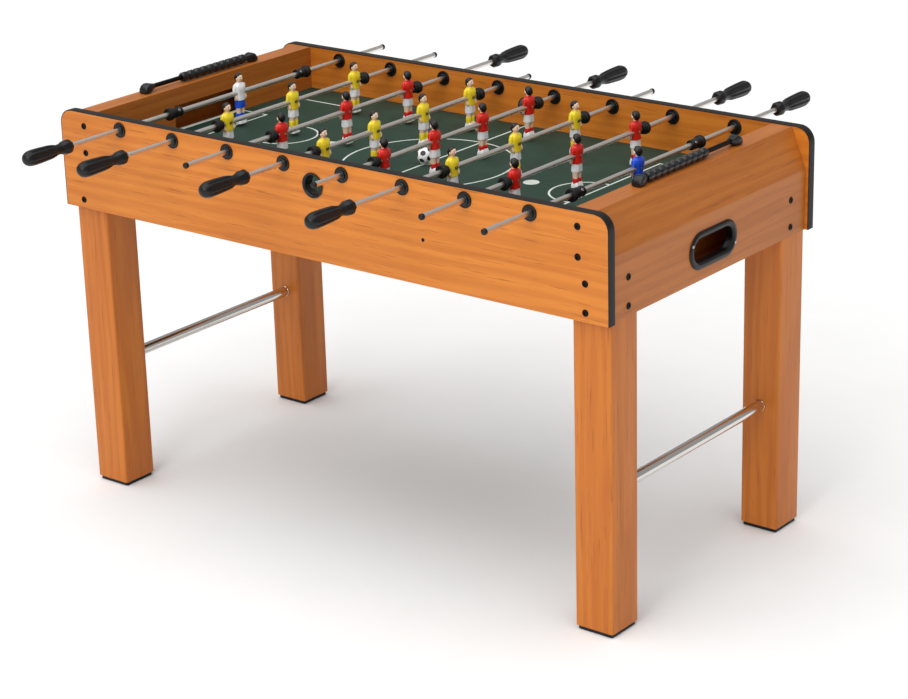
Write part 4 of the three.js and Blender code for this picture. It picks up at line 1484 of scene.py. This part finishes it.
    def handle(self) -> Piece:
        """The handle: an eight-sided flared mouth, a waist and a bulb with lengthwise flutes.

        The radius at (angle a, length s) is the profile's radius less depth * f(s) * (1 + cos(n a)) / 2,
        where f rises steeply after the waist and falls before the domed tip, and over the mouth it is
        blended with the eight-sided outline r * cos(22.5 deg) / cos(a mod 45 deg - 22.5 deg).

        Returns:
            The handle's piece.
        """
        node = f"{self.name}_handle"
        low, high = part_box(node)
        length = high.y - low.y
        tip = -low.y if self.handle_sign < 0 else high.y
        bore = self.rod_radius + 0.35 * MM
        shape = mm([
            (0, 6), (bore / MM, 6), (bore / MM, 0.8), (bore / MM + 0.8, 0), (10.6, 0), (12.4, 1.6), (14.2, 7),
            (14.6, 12), (13.4, 17.5), (11.2, 23), (9.9, 29), (9.6, 34), (10.6, 39), (12.6, 44), (13.6, 52),
            (14.1, 61), (14.6, 71), (15, 81), (15.2, 90), (15.2, 97), (14.7, 103), (13.3, 108.8),
            (10.8, 113.4),
            (7.4, 116.4), (3.7, 117.7), (0, 118),
        ])
        shape[:, 1] *= length / shape[-1, 1]
        smooth = filleted(shape, 1.5 * MM, 3)
        around = 72
        angle = circle(around)
        radius, along = smooth[:, 0], smooth[:, 1] / length
        outside = radius > bore + 1.5 * MM
        rise = outside * np.clip((along - 0.32) / 0.05, 0, 1) * np.clip((0.95 - along) / 0.13, 0, 1)
        flutes = (0.5 + 0.5 * np.cos(self.handle_flutes * angle))[None] ** 1.5
        shrink = 1 - self.flute_depth * rise[:, None] * flutes / np.maximum(radius, 1 * MM)[:, None]
        side = TURN / self.mouth_sides
        polygon = math.cos(side / 2) / np.cos(np.mod(angle, side) - side / 2)
        squared = (outside * np.clip((0.24 - along) / 0.08, 0, 1))[:, None]
        shrink *= 1 + squared * (polygon - 1)
        grid = turned(smooth, ORIGIN, (0.0, float(self.handle_sign), 0.0), around)
        grid[..., [0, 2]] *= shrink[..., None]
        grid = grid + self.axis + (0.0, self.handle_sign * (tip - length), 0.0)
        return Piece(f"{self.name}_grip", [Shell([grid], GRIP_PLASTIC)], self.turner, stands_for=[node],
                     crease_deg=50)

    def players(self) -> list[Piece]:
        """The row of players and the screw that holds each of them.

        Returns:
            A figure and a screw for each CAD player.
        """
        team = self.name.split("_")[0]
        kit = KITS[self.name if self.goalie else team]
        slot = {"yellow_goalie": "player_white", "red_goalie": "player_blue"}.get(self.name, f"player_{team}")
        facing = HALF_TURN if team == "red" else 1.0
        pieces = []
        for node in self.player_nodes:
            low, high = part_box(node)
            place = self.axis + (0.0, (low.y + high.y) / 2, 0.0)
            figure = PlayerFigure(kit, (low.z - self.layout.rod_z) / MM).shells()
            screw = socket_bolt((-self.player_back, 0.0, 0.0), (-1.0, 0.0, 0.0), self.player_screw,
                                BRIGHT_STEEL)
            pieces.append(Piece(f"{node}_figure",
                                [shell.mapped(facing, place) for shell in figure], self.turner,
                                slot, [node], crease_deg=46))
            pieces.append(Piece(f"{node}_screw", [screw.mapped(facing, place)], self.turner, slot))
        return pieces

    def pieces(self) -> list[Piece]:
        """All pieces of the rod."""
        return [self.tube(), self.end_cap(), *self.bumpers(), *self.collars(), self.handle(), *self.players()]


# ---------------------------------------------------------------- score counters and ball


@dataclass
class ScoreCounter:
    """A score counter on an end rail: a bar between two swan-necked feet, and ten ribbed beads."""

    end: End
    bead_count: int = 10
    bar_radius: float = 4.5 * MM
    foot_length: float = 30 * MM
    foot_half_width: float = 11 * MM
    foot_squareness: float = 3.8

    def bar(self) -> Piece:
        """The bar and its feet: rounded sections that swell from the bar and come down on the rail.

        Returns:
            The bar's piece.
        """
        node = f"{self.end.label}_score_bar"
        low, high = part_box(node)
        bead_low, bead_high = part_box(f"{self.end.label}_score_beads")
        middle_x, axis_z = (low.x + high.x) / 2, (bead_low.z + bead_high.z) / 2
        inner = (high.y - low.y) / 2 - self.foot_length
        reach = inner + 3 * MM
        rod = turned(disc_closed([(self.bar_radius, -reach), (self.bar_radius, reach)]),
                     (middle_x, 0.0, axis_z),
                     Y_AXIS, 24)
        up, tall, wide = (axis_z - low.z) / MM, (high.z - low.z) / MM, self.foot_half_width / MM
        # half width, underside and top above the rail, in millimetres, at each share of the foot's length
        share = np.array([0.00, 0.10, 0.26, 0.42, 0.60, 0.80, 0.93, 1.00])[:, None]
        width, under, over = mm([
            (5.4, up - 5.0, up + 5.2), (6.2, up - 5.6, up + 5.8), (8.0, 2.6, up + 7.0),
            (10.0, 0.6, tall - 0.4),
            (wide, 0, tall), (wide, 0, tall - 2.2), (wide - 0.6, 0, tall - 6.8),
            (wide - 1.8, 0.4, tall - 10.5),
        ]).T[:, :, None]
        across, upward = squared_circle(circle(28)[None], self.foot_squareness)
        x, z = middle_x + width * across, low.z + (over + under) / 2 + (over - under) / 2 * upward
        shells = [Shell([rod], BLACK_STEEL)]
        for sign in BOTH:
            y = sign * (inner + share * self.foot_length) + 0 * across
            shells.append(Shell([lofted(np.stack([x, y, z], axis=-1))], BLACK_PAINT))
        return Piece(f"{self.end.label}_counter_bar", shells, slot="black_metal", stands_for=[node])

    def beads(self) -> list[Piece]:
        """The ten beads: barrels with rounded shoulders and a deep groove between neighbours."""
        node = f"{self.end.label}_score_beads"
        low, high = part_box(node)
        pitch, radius = (high.y - low.y) / self.bead_count, (high.z - low.z) / 2
        bore, gap = self.bar_radius + 0.3 * MM, 0.15 * MM
        shares = [(0.80, 0.06), (0.96, 0.16), (1, 0.27), (0.985, 0.50), (1, 0.73), (0.96, 0.84), (0.80, 0.94)]
        corners = [(bore, gap), (radius * 0.78, gap), *(np.array(shares) * (radius, pitch)),
                   (radius * 0.78, pitch - gap), (bore, pitch - gap)]
        profile = filleted(corners, 1.0 * MM, 3, True)
        middle_x, middle_z = (low.x + high.x) / 2, (low.z + high.z) / 2
        pieces = []
        for index in range(self.bead_count):
            grid = turned(profile, (middle_x, low.y + index * pitch, middle_z), Y_AXIS, 36)
            pieces.append(Piece(f"{self.end.label}_bead_{index + 1}", [Shell([grid], BEAD_GLOSS)],
                                f"{self.end.label}_beads", "score_bead_black", [] if index else [node]))
        return pieces

    def pieces(self) -> list[Piece]:
        """The bar and the beads."""
        return [self.bar(), *self.beads()]


@dataclass
class GameBall:
    """The ball: a sphere with printed patches and a faint moulding seam."""

    seam_height: float = 0.05 * MM
    seam_width: float = 0.03

    def pieces(self) -> list[Piece]:
        """The ball, an ellipsoid with equal radii, swollen a little along its seam."""
        low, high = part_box("ball")
        centre = np.array((low + high) / 2)
        radius = (high.z - low.z) / 2
        unit = ball_grid(ORIGIN, (1, 1, 1), 40, 64)
        seam = self.seam_height * np.exp(-((unit[..., 2] / self.seam_width) ** 2))
        grid = centre + unit * (radius + seam)[..., None]
        finish = FootballPlastic("football_plastic", centre=tuple(centre.tolist()))
        return [Piece("game_ball", [Shell([grid], finish)], "rolling_ball", "ball_white", ["ball"])]


# ---------------------------------------------------------------- studio


@dataclass
class Studio:
    """The camera, the pale floor and the soft lights."""

    camera_place: tuple = (2.975, -3.6717, 2.0591)
    azimuth: float = 0.6727
    pitch: float = 0.3531
    roll: float = -0.0278
    focal_widths: float = 2.8258810572687225
    clip_end: float = 60.0
    floor_reach: float = 14.0
    world_strength: float = 0.36
    key_place: tuple = (0.7, -4.2, 2.7)
    key_target: tuple = (0.3, 0.0, 0.55)
    key_size: float = 2.2
    key_power: float = 60.0
    sun_strength: float = 2.45
    sun_angle_deg: float = 90.0
    sun_tilt_deg: tuple = (14.0, -2.0, 0.0)

    def camera(self) -> None:
        """Makes the camera: it looks along its azimuth, pitched down and rolled a little."""
        data = bpy.data.cameras.new("camera")
        data.sensor_width = SENSOR_WIDTH_MM
        data.lens = self.focal_widths * SENSOR_WIDTH_MM
        data.clip_end = self.clip_end
        level = math.cos(self.pitch)
        forward = Vector((-math.sin(self.azimuth) * level, math.cos(self.azimuth) * level,
                          -math.sin(self.pitch)))
        right = forward.cross(Vector(Z_AXIS)).normalized()
        up = right.cross(forward)
        cosine, sine = math.cos(self.roll), math.sin(self.roll)
        axes = (cosine * right + sine * up, cosine * up - sine * right, -forward)
        matrix = Matrix(axes).transposed().to_4x4()
        matrix.translation = Vector(self.camera_place)
        made = placed("camera", data)
        made.matrix_world = matrix
        bpy.context.scene.camera = made

    def floor(self) -> None:
        """Lays the pale floor."""
        mesh = bpy.data.meshes.new("studio_floor")
        far = self.floor_reach
        mesh.from_pydata([(-far, -far, 0), (far, -far, 0), (far, far, 0), (-far, far, 0)], [], [(0, 1, 2, 3)])
        mesh.materials.append(FLOOR_PAINT.material())
        placed("studio_floor", mesh)

    def lights(self) -> None:
        """Adds the square key light in front and the wide overhead light, tipped a little."""
        key = bpy.data.lights.new("key_light", "AREA")
        key.size = self.key_size
        key.energy = self.key_power
        lamp = placed("key_light", key)
        lamp.location = self.key_place
        direction = Vector(self.key_target) - Vector(self.key_place)
        lamp.rotation_euler = direction.to_track_quat("-Z", "Y").to_euler()
        sun = bpy.data.lights.new("overhead_light", "SUN")
        sun.energy = self.sun_strength
        sun.angle = math.radians(self.sun_angle_deg)
        placed("overhead_light", sun).rotation_euler = [math.radians(part) for part in self.sun_tilt_deg]

    def build(self) -> None:
        """Makes the camera, the floor, the world and the lights."""
        self.camera()
        self.floor()
        world = bpy.data.worlds.new("studio_world")
        world.use_nodes = True
        background = world.node_tree.nodes["Background"]
        background.inputs["Color"].default_value = WHITE
        background.inputs["Strength"].default_value = self.world_strength
        bpy.context.scene.world = world
        bpy.context.scene.view_settings.view_transform = "Standard"
        self.lights()


def main() -> None:
    """Builds the table's sub-assemblies in order and the studio round them."""
    logging.basicConfig(level=logging.INFO, format="%(name)s: %(message)s")
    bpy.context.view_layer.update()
    layout = Layout.read()
    Studio().build()
    assemblies = [
        *(SideBoard(layout, side) for side in Side),
        *(EndWorks(end) for end in End),
        PlayingField(layout),
        LegSet(),
        *(RodSet(name, layout) for name in layout.rods),
        *(ScoreCounter(end) for end in End),
        GameBall(),
    ]
    pieces = [piece for assembly in assemblies for piece in assembly.pieces()]
    for piece in pieces:
        piece.build()
    log.info("%d pieces built", len(pieces))


if __name__ == "__main__":
    main()
